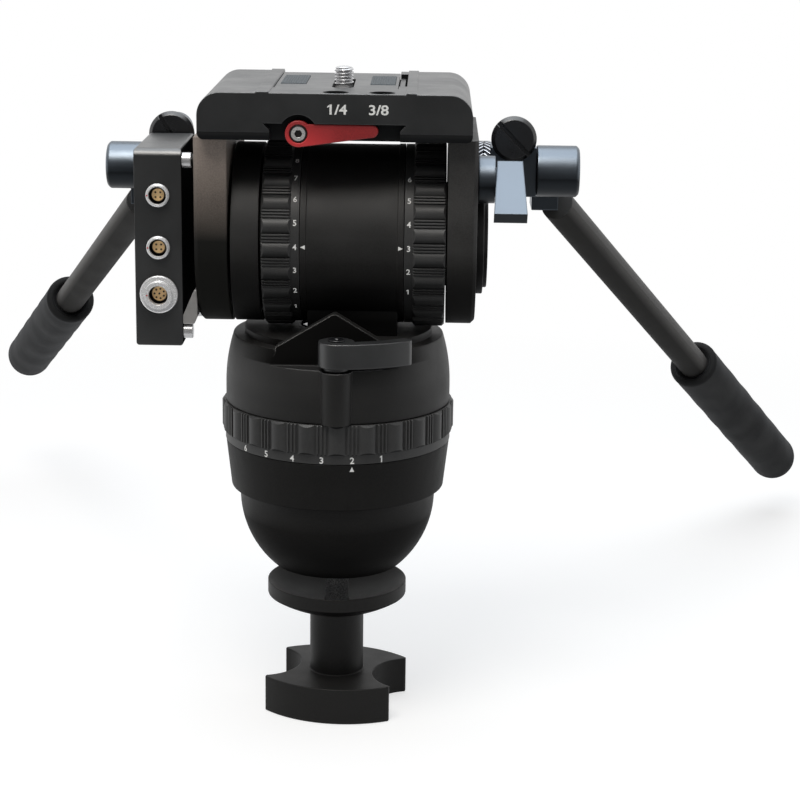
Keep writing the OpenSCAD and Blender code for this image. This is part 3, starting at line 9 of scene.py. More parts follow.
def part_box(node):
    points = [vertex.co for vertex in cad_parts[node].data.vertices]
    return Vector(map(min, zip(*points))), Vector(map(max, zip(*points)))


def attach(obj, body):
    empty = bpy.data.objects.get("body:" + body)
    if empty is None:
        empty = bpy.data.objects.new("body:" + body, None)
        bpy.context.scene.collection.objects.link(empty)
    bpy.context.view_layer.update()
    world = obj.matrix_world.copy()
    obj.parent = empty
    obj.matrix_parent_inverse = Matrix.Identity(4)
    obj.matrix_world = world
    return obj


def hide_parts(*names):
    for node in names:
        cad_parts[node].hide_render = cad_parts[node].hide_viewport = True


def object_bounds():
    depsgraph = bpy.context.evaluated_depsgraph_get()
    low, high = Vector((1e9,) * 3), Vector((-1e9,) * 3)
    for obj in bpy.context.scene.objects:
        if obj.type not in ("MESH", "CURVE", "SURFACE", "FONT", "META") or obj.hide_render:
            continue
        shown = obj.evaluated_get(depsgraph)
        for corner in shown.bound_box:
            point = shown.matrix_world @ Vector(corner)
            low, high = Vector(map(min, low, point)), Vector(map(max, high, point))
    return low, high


bl_info = {
    "name": "Fluid Video Head",
    "version": (1, 0, 0),
    "blender": (4, 5, 0),
    "location": "View3D > Sidebar > Video Head",
    "description": "Dresses a fluid video head with finishes, dial markings, grips and pads",
    "category": "Object",
}

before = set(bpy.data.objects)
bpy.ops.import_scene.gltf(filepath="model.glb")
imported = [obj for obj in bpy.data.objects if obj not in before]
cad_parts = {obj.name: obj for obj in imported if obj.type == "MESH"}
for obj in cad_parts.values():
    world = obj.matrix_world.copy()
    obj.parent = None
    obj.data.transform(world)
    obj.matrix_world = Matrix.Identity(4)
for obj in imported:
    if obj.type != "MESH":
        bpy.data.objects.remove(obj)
CAD_BOX = [list(corner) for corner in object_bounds()]

MM = 0.001
TILT_AXIS = 134.5 * MM
PAN_INDEX = 9.5
DIAL_STEP = 15.0
ROOM_LEVEL = 0.12
TILT_BAND = 44.7 * MM
PAN_BAND = 57.4 * MM
PLATE_TOP = TILT_AXIS + 75 * MM
SOCKET_X = -87.2 * MM
BOX_FRONT = -30.2 * MM
INSERT_DEPTH = 1.1 * MM
# Height from the tilt axis, bore, contacts round their circle, its radius, front and pale face, in mm; outside the
# pale face the insert is painted shade
SOCKETS = (
    (22.1, 4.3, 4, 1.7, 32.7, 2.95),
    (-3.7, 4.3, 4, 1.7, 32.7, 2.95),
    (-27.0, 4.75, 7, 2.4, 34.8, 3.5),
)

FINISH_OF_NODES = {
    "casting": "left_drum arm_cap",
    "right_arm": "right_arm",
    "drum": "tilt_drum",
    "housing": "pan_housing",
    "arm": "left_arm",
    "ring": "pan_drag_ring counterbalance_ring tilt_drag_ring",
    "moulding": "base_ring tie_down_knob clamp_cup half_ball standoff_spacers",
    "deck": "camera_plate plate_jaw",
    "platform": "platform",
    "box": "encoder_box",
    "lever": "pan_lock_lever",
    "machined": "tilt_lock_lever clamp_left clamp_right clamp_knob_left clamp_knob_right",
    "gloss": "coin_screw_left coin_screw_right pan_lock_screw",
    "tube": "tube_left tube_right",
    "steel": "base_bolts pan_spindle spindle_nut pan_bearings tie_down_stud counterbalance_spring "
             "tilt_shaft tilt_bearings standoff_screws camera_screw spare_screws",
    "damper": "pan_damper tilt_damper",
    "bracket": "box_bracket",
}
EDGE_OF_NODES = {
    0.8: "platform pan_housing clamp_left clamp_right tilt_lock_lever right_arm left_arm pan_lock_lever",
    0.5: "arm_cap camera_plate clamp_cup clamp_knob_left clamp_knob_right base_ring box_bracket "
         "encoder_box half_ball tie_down_knob",
    0.25: "tilt_drum left_drum standoff_screws standoff_spacers level_body plate_jaw coin_screw_left "
          "coin_screw_right small_sockets large_socket pan_lock_screw quick_lever_screw camera_screw",
    0.22: "pan_drag_ring counterbalance_ring tilt_drag_ring",
}


class HeadFinishes(bpy.types.PropertyGroup):
    """Colours and gloss of the finishes"""

    casting: bpy.props.FloatVectorProperty(
        name="Casting", description="Coat of the castings", subtype="COLOR", default=(0.0130, 0.0126, 0.0122),
        min=0, max=1)
    # The grey-brown is painted light of the lit upper left arm, which fades to painted shade lower down
    arm: bpy.props.FloatVectorProperty(
        name="Left arm", description="Grey-brown coat of the left arm", subtype="COLOR",
        default=(0.205, 0.172, 0.150), min=0, max=1)
    ring: bpy.props.FloatVectorProperty(
        name="Dial rings", description="Rubbery coat of the dial rings", subtype="COLOR",
        default=(0.030, 0.030, 0.030), min=0, max=1)
    deck: bpy.props.FloatVectorProperty(
        name="Deck", description="Anodise of the platform, plate and box", subtype="COLOR",
        default=(0.0175, 0.0182, 0.0190), min=0, max=1)
    machined: bpy.props.FloatVectorProperty(
        name="Machined black", description="Anodise of levers, clamps and knobs", subtype="COLOR",
        default=(0.004, 0.0042, 0.0048), min=0, max=1)
    foam: bpy.props.FloatVectorProperty(
        name="Grip foam", description="Foam of the grips", subtype="COLOR", default=(0.0032, 0.0034, 0.0038),
        min=0, max=1)
    tube: bpy.props.FloatVectorProperty(
        name="Bar tube", description="Coat of the pan bars", subtype="COLOR", default=(0.082, 0.079, 0.076),
        min=0, max=1)
    red: bpy.props.FloatVectorProperty(
        name="Lever red", description="Anodise of the quick lock lever", subtype="COLOR",
        default=(0.30, 0.016, 0.018), min=0, max=1)
    grain: bpy.props.FloatProperty(
        name="Grain", description="Size of the coat's grain", subtype="DISTANCE", default=0.45 * MM, min=0.1 * MM,
        max=2 * MM)


class HeadMarkings(bpy.types.PropertyGroup):
    """Printed numbers and marks"""

    paint: bpy.props.FloatVectorProperty(
        name="Paint", description="Colour of the printed marks", subtype="COLOR", default=(0.82, 0.82, 0.80),
        min=0, max=1)
    tilt_digit: bpy.props.FloatProperty(
        name="Tilt digit", description="Height of the numbers on the tilt rings", subtype="DISTANCE",
        default=2.9 * MM, min=1 * MM, max=5 * MM)
    pan_digit: bpy.props.FloatProperty(
        name="Pan digit", description="Height of the numbers on the pan ring", subtype="DISTANCE",
        default=3.3 * MM, min=1 * MM, max=5 * MM)
    label: bpy.props.FloatProperty(
        name="Thread label", description="Height of the thread labels on the platform", subtype="DISTANCE",
        default=4.8 * MM, min=2 * MM, max=8 * MM)
    film: bpy.props.FloatProperty(
        name="Film", description="Height of the paint over its surface", subtype="DISTANCE", default=0.05 * MM,
        min=0.01 * MM, max=0.2 * MM)


class HeadGrips(bpy.types.PropertyGroup):
    """Foam grips of the pan bars"""

    radius: bpy.props.FloatProperty(
        name="Radius", description="Outer radius of a grip", subtype="DISTANCE", default=15.0 * MM, min=12 * MM,
        max=15.4 * MM)
    lip: bpy.props.FloatProperty(
        name="Lip", description="Edge radius at the open end", subtype="DISTANCE", default=2.6 * MM, min=1 * MM,
        max=4 * MM)
    swell: bpy.props.FloatProperty(
        name="Swell", description="Depth of the foam's shallow waves", subtype="DISTANCE", default=0.18 * MM, min=0,
        max=0.5 * MM)


class HeadStage(bpy.types.PropertyGroup):
    """Camera, lamps and floor"""

    lens: bpy.props.FloatProperty(
        name="Lens", description="Focal length of the camera", unit="CAMERA", default=96.9, min=30, max=200)
    top_lamp: bpy.props.FloatProperty(
        name="Top lamp", description="Power of the overhead softbox", unit="POWER", default=14, min=0, max=100)
    front_lamp: bpy.props.FloatProperty(
        name="Front lamp", description="Power of the front softbox", unit="POWER", default=13, min=0, max=100)
    ambient: bpy.props.FloatProperty(
        name="Ambient", description="Level of the surrounding light", default=0.22, min=0, max=2)


class Tree:
    """A node tree with short calls for the nodes used here"""

    def __init__(self, owner):
        owner.use_nodes = True
        self.tree = owner.node_tree
        self.tree.nodes.clear()

    def add(self, kind, **settings):
        node = self.tree.nodes.new(kind)
        for key, value in settings.items():
            setattr(node, key, value)
        return node

    def link(self, source, target):
        self.tree.links.new(source, target)

    def place(self):
        return self.add("ShaderNodeTexCoord").outputs["Object"]

    def split(self, vector):
        node = self.add("ShaderNodeSeparateXYZ")
        self.link(vector, node.inputs[0])
        return node.outputs

    def noise(self, place, scale, detail=2.0, rough=0.5):
        node = self.add("ShaderNodeTexNoise")
        node.inputs["Scale"].default_value = scale
        node.inputs["Detail"].default_value = detail
        node.inputs["Roughness"].default_value = rough
        self.link(place, node.inputs["Vector"])
        return node.outputs["Fac"]

    def span(self, value, low, high, to_low, to_high):
        node = self.add("ShaderNodeMapRange", clamp=True)
        for key, number in zip(("From Min", "From Max", "To Min", "To Max"), (low, high, to_low, to_high)):
            node.inputs[key].default_value = number
        self.link(value, node.inputs["Value"])
        return node.outputs["Result"]

    def math(self, operation, a, b=None):
        node = self.add("ShaderNodeMath", operation=operation)
        for socket, value in zip(node.inputs, (a, b)):
            if isinstance(value, (int, float)):
                socket.default_value = value
            elif value is not None:
                self.link(value, socket)
        return node.outputs[0]

    def mix(self, share, first, second):
        node = self.add("ShaderNodeMix", data_type="RGBA")
        self.link(share, node.inputs[0])
        for socket, value in ((node.inputs[6], first), (node.inputs[7], second)):
            if isinstance(value, (tuple, list)):
                socket.default_value = (*value[:3], 1)
            else:
                self.link(value, socket)
        return node.outputs[2]

    def bump(self, height, distance, strength=1.0, after=None):
        node = self.add("ShaderNodeBump")
        node.inputs["Strength"].default_value = strength
        node.inputs["Distance"].default_value = distance
        self.link(height, node.inputs["Height"])
        if after is not None:
            self.link(after, node.inputs["Normal"])
        return node.outputs[0]

    def shader(self, kind, color=(1, 1, 1), strength=None):
        node = self.add(kind)
        node.inputs["Color"].default_value = (*color, 1)
        if isinstance(strength, (int, float)):
            node.inputs["Strength"].default_value = strength
        elif strength is not None:
            self.link(strength, node.inputs["Strength"])
        return node.outputs[0]

    def blend(self, share, first, second):
        node = self.add("ShaderNodeMixShader")
        for value, socket in zip((share, first, second), node.inputs):
            self.link(value, socket)
        return node.outputs[0]

    def backdrop_share(self):
        """1 for rays that see the backdrop itself: camera, glossy and transmission rays"""
        path = self.add("ShaderNodeLightPath").outputs
        share = self.math("MAXIMUM", path["Is Camera Ray"], path["Is Glossy Ray"])
        return self.math("MAXIMUM", share, path["Is Transmission Ray"])


class Nodes(Tree):
    """A material's node tree round one surface shader"""

    def __init__(self, name):
        self.material = bpy.data.materials.new(name)
        super().__init__(self.material)
        self.coat = self.add("ShaderNodeBsdfPrincipled")
        self.link(self.coat.outputs[0], self.add("ShaderNodeOutputMaterial").inputs[0])

    def set(self, **sockets):
        for key, value in sockets.items():
            socket = self.coat.inputs[key.replace("_", " ")]
            if isinstance(value, bpy.types.NodeSocket):
                self.link(value, socket)
            else:
                socket.default_value = (*value, 1) if isinstance(value, (tuple, list)) else value
        return self


def tone(color, share):
    """The colour with its brightness scaled"""
    return tuple(min(1.0, c * share) for c in color[:3])


def edge_mask(nodes, width):
    """1 at the edges and 0 on the open faces"""
    round_edge = nodes.add("ShaderNodeBevel", samples=4)
    round_edge.inputs["Radius"].default_value = width
    flat = nodes.add("ShaderNodeNewGeometry").outputs["Normal"]
    turn = nodes.add("ShaderNodeVectorMath", operation="DOT_PRODUCT")
    nodes.link(round_edge.outputs[0], turn.inputs[0])
    nodes.link(flat, turn.inputs[1])
    return nodes.span(turn.outputs["Value"], 0.99, 0.8, 0.0, 1.0)


def coat(name, color, roughness, grain, depth, specular=0.5, mottle=0.25, wear_and_highlight=2.2, edge=0.6 * MM, ior=1.5,
         painted_reflection_tint=(1.0, 1.0, 1.0), shade_below=None, shade_spots=(), glint_rims=()):
    """Grained coat with rounded edges, lighter at its edges where worn and by painted highlight, with painted shade
    on downward faces, below a given height and in given places, and painted highlight lines along given edge bands
    """
    nodes = Nodes(name)
    place = nodes.place()
    spot = nodes.split(place)
    facing = nodes.split(nodes.add("ShaderNodeNewGeometry").outputs["Normal"])
    fine = nodes.noise(place, 1 / grain, 3.0, 0.6)
    broad = nodes.noise(place, 55, 4.0, 0.55)
    shade = nodes.mix(nodes.span(broad, 0.3, 0.7, 0, 1), tone(color, 1 - mottle), tone(color, 1 + mottle))
    speck = nodes.mix(nodes.span(fine, 0.35, 0.75, 0, 1), shade, tone(color, 1.5))
    # Edges lighter, partly worn and partly painted highlight
    scuff_and_highlight = nodes.math("MULTIPLY", edge_mask(nodes, 0.7 * MM), nodes.span(broad, 0.35, 0.65, 0.25, 1))
    gloss = nodes.span(facing["Z"], -0.2, 0.1, 0.1 * specular, specular)
    shown = nodes.mix(scuff_and_highlight, speck, tone(color, wear_and_highlight))
    # Painted shade: faces that turn downward get a darker colour
    shown = nodes.mix(nodes.span(facing["Z"], -0.2, -0.5, 0, 1), shown, tone(color, 0.4))
    shade_layers = []
    # Painted shade below a given height: darker colour and less gloss
    if shade_below is not None:
        low, high, darker = shade_below
        shade_layers.append((nodes.span(spot["Z"], low, high, 1, 0), darker, 0.3))
    # Painted shade in the given places: darker colour and no gloss
    if shade_spots:
        share = None
        for source, axis, low, high in shade_spots:
            part = nodes.span((spot if source == "place" else facing)[axis], low, high, 0, 1)
            share = part if share is None else nodes.math("MULTIPLY", share, part)
        shade_layers.append((share, tone(color, 0.8), 0.0))
    for share, darker, left in shade_layers:
        shown = nodes.mix(share, shown, darker)
        gloss = nodes.math("MULTIPLY", gloss, nodes.span(share, 0, 1, 1, left))
    # Painted highlight lines along edges inside the given height bands, in front of a given depth
    for low, high, reach, glint_color in glint_rims:
        band = nodes.math("MULTIPLY", nodes.span(spot["Z"], low, low + 0.4 * MM, 0, 1),
                          nodes.span(spot["Z"], high, high + 0.4 * MM, 1, 0))
        ahead = nodes.span(spot["Y"], reach, reach + 0.5 * MM, 1, 0)
        share = nodes.math("MULTIPLY", nodes.math("MULTIPLY", band, ahead), edge_mask(nodes, 0.6 * MM))
        shown = nodes.mix(share, shown, glint_color)
    rounded = nodes.add("ShaderNodeBevel", samples=6)
    rounded.inputs["Radius"].default_value = edge
    nodes.set(
        Base_Color=shown,
        Roughness=nodes.span(broad, 0.3, 0.7, roughness - 0.05, roughness + 0.06),
        Normal=nodes.bump(fine, depth, after=rounded.outputs[0]),
        Specular_IOR_Level=gloss,
        Specular_Tint=painted_reflection_tint,
        IOR=ior,
    )
    return nodes.material


def turned_metal(name, color, roughness, scale=2600):
    """Bright metal with fine turning streaks"""
    nodes = Nodes(name)
    place = nodes.place()
    fine = nodes.noise(place, scale, 2.0)
    broad = nodes.noise(place, 180, 3.0)
    nodes.set(
        Base_Color=nodes.mix(nodes.span(broad, 0.3, 0.7, 0, 1), tone(color, 0.86), tone(color, 1.06)),
        Roughness=nodes.span(fine, 0.3, 0.7, roughness - 0.06, roughness + 0.08),
        Normal=nodes.bump(fine, 0.012 * MM),
        Metallic=0.6,
    )
    return nodes.material


def finish_materials():
    """Every finish by its name"""
    want = bpy.context.scene.head_finishes
    grain = want.grain
    # Painted shade on the drum's foot, below the tilt axis
    foot_shade = (TILT_AXIS - 40 * MM, TILT_AXIS - 28 * MM, tone(want.casting, 0.2))
    # Painted highlight lines on the housing's upper front edges and round its post top
    ledge_glint = (80 * MM, 110 * MM, -44 * MM, (0.42, 0.41, 0.40))
    shield_glint = (74.6 * MM, 77 * MM, -50 * MM, (0.42, 0.42, 0.43))
    # Painted highlight line along the platform's top-front edge
    front_edge_glint = (TILT_AXIS + 70 * MM, TILT_AXIS + 80 * MM, -54.4 * MM, (0.46, 0.48, 0.51))
    to_front = ("facing", "Y", -0.5, -0.8)
    return {
        "casting": coat("casting_coat", want.casting, 0.54, grain, 0.05 * MM),
        "drum": coat("drum_coat", want.casting, 0.54, grain, 0.05 * MM, edge=0.3 * MM, shade_below=foot_shade),
        # Painted highlight lines along the front edges; painted shade on front faces above the post top
        "housing": coat(
            "housing_coat", tone(want.casting, 0.7), 0.54, grain, 0.05 * MM, glint_rims=(ledge_glint, shield_glint),
            shade_spots=(("place", "Z", 76.2 * MM, 76.8 * MM), to_front)),
        # Painted light: lighter colour above, fading to painted shade below
        "right_arm": coat(
            "right_arm_coat", tone(want.casting, 2.8), 0.54, grain, 0.05 * MM, edge=1 * MM,
            shade_below=(TILT_AXIS - 30 * MM, TILT_AXIS + 20 * MM, tone(want.casting, 0.7))),
        # Painted light: the grey-brown is the lit upper arm, fading to painted shade lower down
        "arm": coat(
            "arm_coat", want.arm, 0.58, grain * 1.2, 0.06 * MM, specular=0.3, mottle=0.2, wear_and_highlight=1.2, edge=1 * MM,
            shade_below=(TILT_AXIS + 2 * MM, TILT_AXIS + 42 * MM, (0.012, 0.012, 0.011))),
        "ring": coat("ring_coat", want.ring, 0.46, grain * 0.8, 0.03 * MM, edge=0.25 * MM),
        "moulding": coat(
            "moulded_black", tone(want.casting, 0.7), 0.5, grain * 1.3, 0.05 * MM, specular=0.25, edge=1 * MM),
        "deck": coat("deck_anodise", want.deck, 0.38, grain * 0.7, 0.03 * MM, specular=1.0, ior=1.6, edge=0.3 * MM),
        # Painted highlight on the top-front edge; painted shade in the recess behind the front face
        "platform": coat(
            "platform_anodise", want.deck, 0.38, grain * 0.7, 0.03 * MM, specular=1.0, edge=0.9 * MM,
            glint_rims=(front_edge_glint,), shade_spots=(("place", "Y", -55 * MM, -54 * MM), to_front)),
        # Painted shade on the sides that face +X, towards the arm
        "box": coat(
            "box_anodise", want.deck, 0.38, grain * 0.7, 0.03 * MM, specular=1.0, ior=1.6, edge=0.8 * MM,
            shade_spots=(("facing", "X", 0.5, 0.8),)),
        # The bluish specular tint is painted reflection of blue light
        "machined": coat(
            "machined_anodise", want.machined, 0.34, grain * 0.6, 0.015 * MM, specular=1.0, edge=0.9 * MM,
            ior=1.9, painted_reflection_tint=(0.74, 0.86, 1.0)),
        "lever": coat("lever_anodise", want.deck, 0.4, grain * 0.7, 0.02 * MM, specular=1.0, ior=1.6, edge=0.9 * MM),
        "gloss": coat("gloss_black", tone(want.machined, 2.2), 0.28, grain * 2, 0.006 * MM, specular=1.0),
        "tube": coat("tube_coat", want.tube, 0.6, grain * 0.7, 0.04 * MM, specular=0.3),
        "steel": turned_metal("plated_steel", (0.58, 0.58, 0.59), 0.26),
        "damper": turned_metal("damper_metal", (0.20, 0.20, 0.21), 0.4),
        "bracket": turned_metal("bare_bracket", (0.42, 0.41, 0.40), 0.46),
    }


def dress(names, material):
    """Give the named solids one material"""
    for name in names.split():
        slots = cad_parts[name].data.materials
        slots.clear()
        slots.append(material)


def soften(obj, width):
    """Rounds an object's sharp edges by modifiers, with its mesh left as it is"""
    weld = obj.modifiers.new("weld", "WELD")
    weld.merge_threshold = 0.002 * MM
    flat = obj.modifiers.new("flat", "DECIMATE")
    flat.decimate_type = "DISSOLVE"
    flat.angle_limit = math.radians(0.5)
    bevel = obj.modifiers.new("edges", "BEVEL")
    bevel.width = width
    bevel.segments = 2
    bevel.limit_method = "ANGLE"
    bevel.angle_limit = math.radians(32)
    bevel.use_clamp_overlap = True
    bevel.miter_outer = "MITER_ARC"
    weighted = obj.modifiers.new("normals", "WEIGHTED_NORMAL")
    weighted.keep_sharp = False
    weighted.weight = 100


def new_piece(name, verts, faces, body, slot, material, smooth=True):
    """A mesh object that rides on a body"""
    mesh = bpy.data.meshes.new(name)
    mesh.from_pydata([tuple(v) for v in verts], [], faces)
    mesh.update()
    mesh.materials.append(material)
    for polygon in mesh.polygons:
        polygon.use_smooth = smooth
    obj = bpy.data.objects.new(name, mesh)
    bpy.context.scene.collection.objects.link(obj)
    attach(obj, body)
    return obj


def join_parts(parts):
    """One vertex and face list from several"""
    verts, faces = [], []
    for part_verts, part_faces in parts:
        start = len(verts)
        verts += part_verts
        faces += [tuple(start + i for i in face) for face in part_faces]
    return verts, faces


def revolve(profile, steps, place=Matrix()):
    """A profile of radius and height turned about Z, then placed"""
    verts, rings = [], []
    for radius, height in profile:
        if radius < 1e-9:
            rings.append([len(verts)] * steps)
            verts.append(place @ Vector((0, 0, height)))
            continue
        rings.append(list(range(len(verts), len(verts) + steps)))
        for i in range(steps):
            angle = 2 * math.pi * i / steps
            verts.append(place @ Vector((radius * math.cos(angle), radius * math.sin(angle), height)))
    faces = []
    for low, high in zip(rings, rings[1:]):
        for i in range(steps):
            j = (i + 1) % steps
            face = []
            for index in (low[i], low[j], high[j], high[i]):
                if index not in face:
                    face.append(index)
            if len(face) > 2:
                faces.append(tuple(face))
    return verts, faces


def curve_shape(curve):
    """Points and faces of a filled curve, which is then removed"""
    obj = bpy.data.objects.new(curve.name, curve)
    bpy.context.scene.collection.objects.link(obj)
    bpy.context.view_layer.update()
    mesh = bpy.data.meshes.new_from_object(obj.evaluated_get(bpy.context.evaluated_depsgraph_get()))
    points = [v.co.copy() for v in mesh.vertices]
    faces = [tuple(p.vertices) for p in mesh.polygons]
    bpy.data.objects.remove(obj)
    bpy.data.curves.remove(curve)
    bpy.data.meshes.remove(mesh)
    return points, faces


def lettering(text, height):
    """Flat letter shapes as points and faces, centred, with the given digit height"""
    curve = bpy.data.curves.new("lettering", "FONT")
    curve.body = text
    curve.align_x = "CENTER"
    curve.resolution_u = 6
    curve.offset = 0.02
    points, faces = curve_shape(curve)
    low = min(p.y for p in points)
    high = max(p.y for p in points)
    left = min(p.x for p in points)
    right = max(p.x for p in points)
    if text[0] == "1":
        stem = [p for p in points if p.x < left + 0.1]
        top = max(p.y for p in stem)
        flag = ((0.02, 0), (0.02, -0.15), (-0.14, -0.24), (-0.14, -0.12))
        faces.append(tuple(range(len(points) + 3, len(points) - 1, -1)))
        points += [Vector((left + x, top + y, 0)) for x, y in flag]
    scale = height / (high - low)
    middle = Vector(((left + right) / 2, (low + high) / 2, 0))
    return [(p - middle) * scale for p in points], faces


def plate_with_eye(outline, eye, thickness, bevel):
    """A flat plate with an eye and bevelled edges, centred on its thickness, as points and faces"""
    curve = bpy.data.curves.new("plate", "CURVE")
    curve.dimensions = "2D"
    curve.fill_mode = "BOTH"
    curve.extrude = thickness / 2 - bevel
    curve.bevel_depth = bevel
    curve.bevel_resolution = 2
    curve.offset = -bevel
    for points in (outline, eye):
        spline = curve.splines.new("POLY")
        spline.points.add(len(points) - 1)
        for point, (x, y) in zip(spline.points, points):
            point.co = (x, y, 0, 1)
        spline.use_cyclic_u = True
    return curve_shape(curve)


def on_tilt_band(x, radius, angle):
    """Map of flat marks to a band round the tilt axis, at an angle above its front"""
    def place(point):
        turn = math.radians(angle) + point.y / radius
        return Vector((x + point.x, -radius * math.cos(turn), TILT_AXIS + radius * math.sin(turn)))
    return place


def on_pan_band(height, radius, angle, slope=0.0):
    """Map of flat marks to a band round the pan axis, at an angle from its front"""
    def place(point):
        turn = math.radians(angle) + point.x / radius
        reach = radius + slope * point.y
        return Vector((reach * math.sin(turn), -reach * math.cos(turn), height + point.y))
    return place


def paint_material():
    """Printed white paint with faint wear"""
    nodes = Nodes("mark_paint")
    color = bpy.context.scene.head_markings.paint
    worn = nodes.noise(nodes.place(), 2600, 3.0)
    nodes.set(
        Base_Color=nodes.mix(nodes.span(worn, 0.3, 0.65, 0, 1), tone(color, 0.86), tone(color, 1.05)),
        Roughness=nodes.span(worn, 0.3, 0.7, 0.45, 0.6),
        Normal=nodes.bump(worn, 0.008 * MM),
    )
    return nodes.material


def mapped(shape, place):
    points, faces = shape
    return [place(p) for p in points], faces


class HEAD_OT_dress_solids(bpy.types.Operator):
    """Give the solids their finishes and rounded edges"""

    bl_idname = "video_head.dress_solids"
    bl_label = "Dress Solids"

    def execute(self, context):
        materials = finish_materials()
        for finish, names in FINISH_OF_NODES.items():
            dress(names, materials[finish])
        for width, names in EDGE_OF_NODES.items():
            for name in names.split():
                soften(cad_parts[name], width * MM)
        return {"FINISHED"}


class HEAD_OT_dress_rosettes(bpy.types.Operator):
    """Give the toothed rosettes bright steel, with painted shade in the gaps between their teeth"""

    bl_idname = "video_head.dress_rosettes"
    bl_label = "Dress Rosettes"

    def execute(self, context):
        nodes = Nodes("rosette_steel")
        place = nodes.place()
        spot = nodes.split(place)
        turn = nodes.math("ARCTAN2", nodes.math("SUBTRACT", spot["Y"], 46 * MM),
                          nodes.math("SUBTRACT", spot["Z"], TILT_AXIS + 25.8 * MM))
        off = nodes.math("ABSOLUTE", nodes.math("SUBTRACT", nodes.math("ABSOLUTE", spot["X"]), 72.55 * MM))
        phase = nodes.math("ADD", nodes.math("MULTIPLY", turn, 36.0), nodes.math("MULTIPLY", off, 1900.0))
        wave = nodes.math("SINE", phase)
        fine = nodes.noise(place, 2400)
        nodes.set(
            # Painted shade: the gaps between the teeth are painted dark
            Base_Color=nodes.mix(nodes.span(wave, -0.1, 0.25, 0, 1), (0.03, 0.033, 0.04), (0.56, 0.58, 0.62)),
            Roughness=nodes.span(fine, 0.3, 0.7, 0.22, 0.36),
            Normal=nodes.bump(wave, 0.25 * MM),
            Metallic=1.0,
        )
        dress("rosette_left rosette_right bar_rosette_left bar_rosette_right", nodes.material)
        return {"FINISHED"}


class HEAD_OT_print_dials(bpy.types.Operator):
    """Print the numbers on the three dial rings"""

    bl_idname = "video_head.print_dials"
    bl_label = "Print Dial Numbers"

    def execute(self, context):
        marks = context.scene.head_markings
        paint = paint_material()
        tilt_radius = TILT_BAND + marks.film
        pan_radius = PAN_BAND + marks.film

        def tilt_numbers(last, x, shown):
            return [mapped(lettering(str(n), marks.tilt_digit), on_tilt_band(x, tilt_radius, DIAL_STEP * (n - shown)))
                    for n in range(1, last + 1)]

        left = tilt_numbers(8, -19.6 * MM, 4)
        right = tilt_numbers(6, 35.5 * MM, 3)
        pan = [mapped(lettering(str(n), marks.pan_digit),
                      on_pan_band(31.3 * MM, pan_radius, PAN_INDEX + DIAL_STEP * (2 - n)))
               for n in range(1, 7)]
        new_piece("counterbalance_numbers", *join_parts(left), "counterbalance_ring", "black_casting", paint, False)
        new_piece("tilt_drag_numbers", *join_parts(right), "tilt_drag_ring", "black_casting", paint, False)
        new_piece("pan_drag_numbers", *join_parts(pan), "pan_drag_ring", "black_casting", paint, False)
        return {"FINISHED"}


class HEAD_OT_print_marks(bpy.types.Operator):
    """Print the index triangles and the two thread labels"""

    bl_idname = "video_head.print_marks"
    bl_label = "Print Marks"

    def execute(self, context):
        marks = context.scene.head_markings
        paint = paint_material()

        def triangle(length, width):
            corners = (-length / 2, 0), (length / 2, -width / 2), (length / 2, width / 2)
            return [Vector((x, y, 0)) for x, y in corners], [(0, 1, 2)]

        band = TILT_BAND + marks.film
        left = mapped(triangle(2.3 * MM, 2.1 * MM), on_tilt_band(-15.7 * MM, band, 0))
        points, faces = triangle(2.3 * MM, 2.1 * MM)
        right = mapped(([Vector((-p.x, p.y, 0)) for p in points], [tuple(reversed(f)) for f in faces]),
                       on_tilt_band(31.6 * MM, band, 0))
        new_piece("tilt_index_marks", *join_parts([left, right]), "pan_unit", "black_casting", paint, False)
        slope = (57.2 - 54.4) / (29.0 - 4.5)
        points, faces = triangle(2.5 * MM, 2.3 * MM)
        upright = [Vector((p.y, -p.x, 0)) for p in points]
        radius = 57.2 * MM - slope * 2.3 * MM + marks.film
        new_piece("pan_index_mark", *mapped((upright, faces), on_pan_band(26.7 * MM, radius, PAN_INDEX, slope)),
                  "base", "black_casting", paint, False)
        labels = []
        for text, x in (("1/4", 1.7 * MM), ("3/8", 20.75 * MM)):
            def place(point, x=x):
                return Vector((x + 1.17 * point.x, -55.5 * MM - marks.film, TILT_AXIS + 67.8 * MM + point.y))
            labels.append(mapped(lettering(text, marks.label), place))
        new_piece("thread_labels", *join_parts(labels), "tilt_unit", "black_anodised", paint, False)
        return {"FINISHED"}


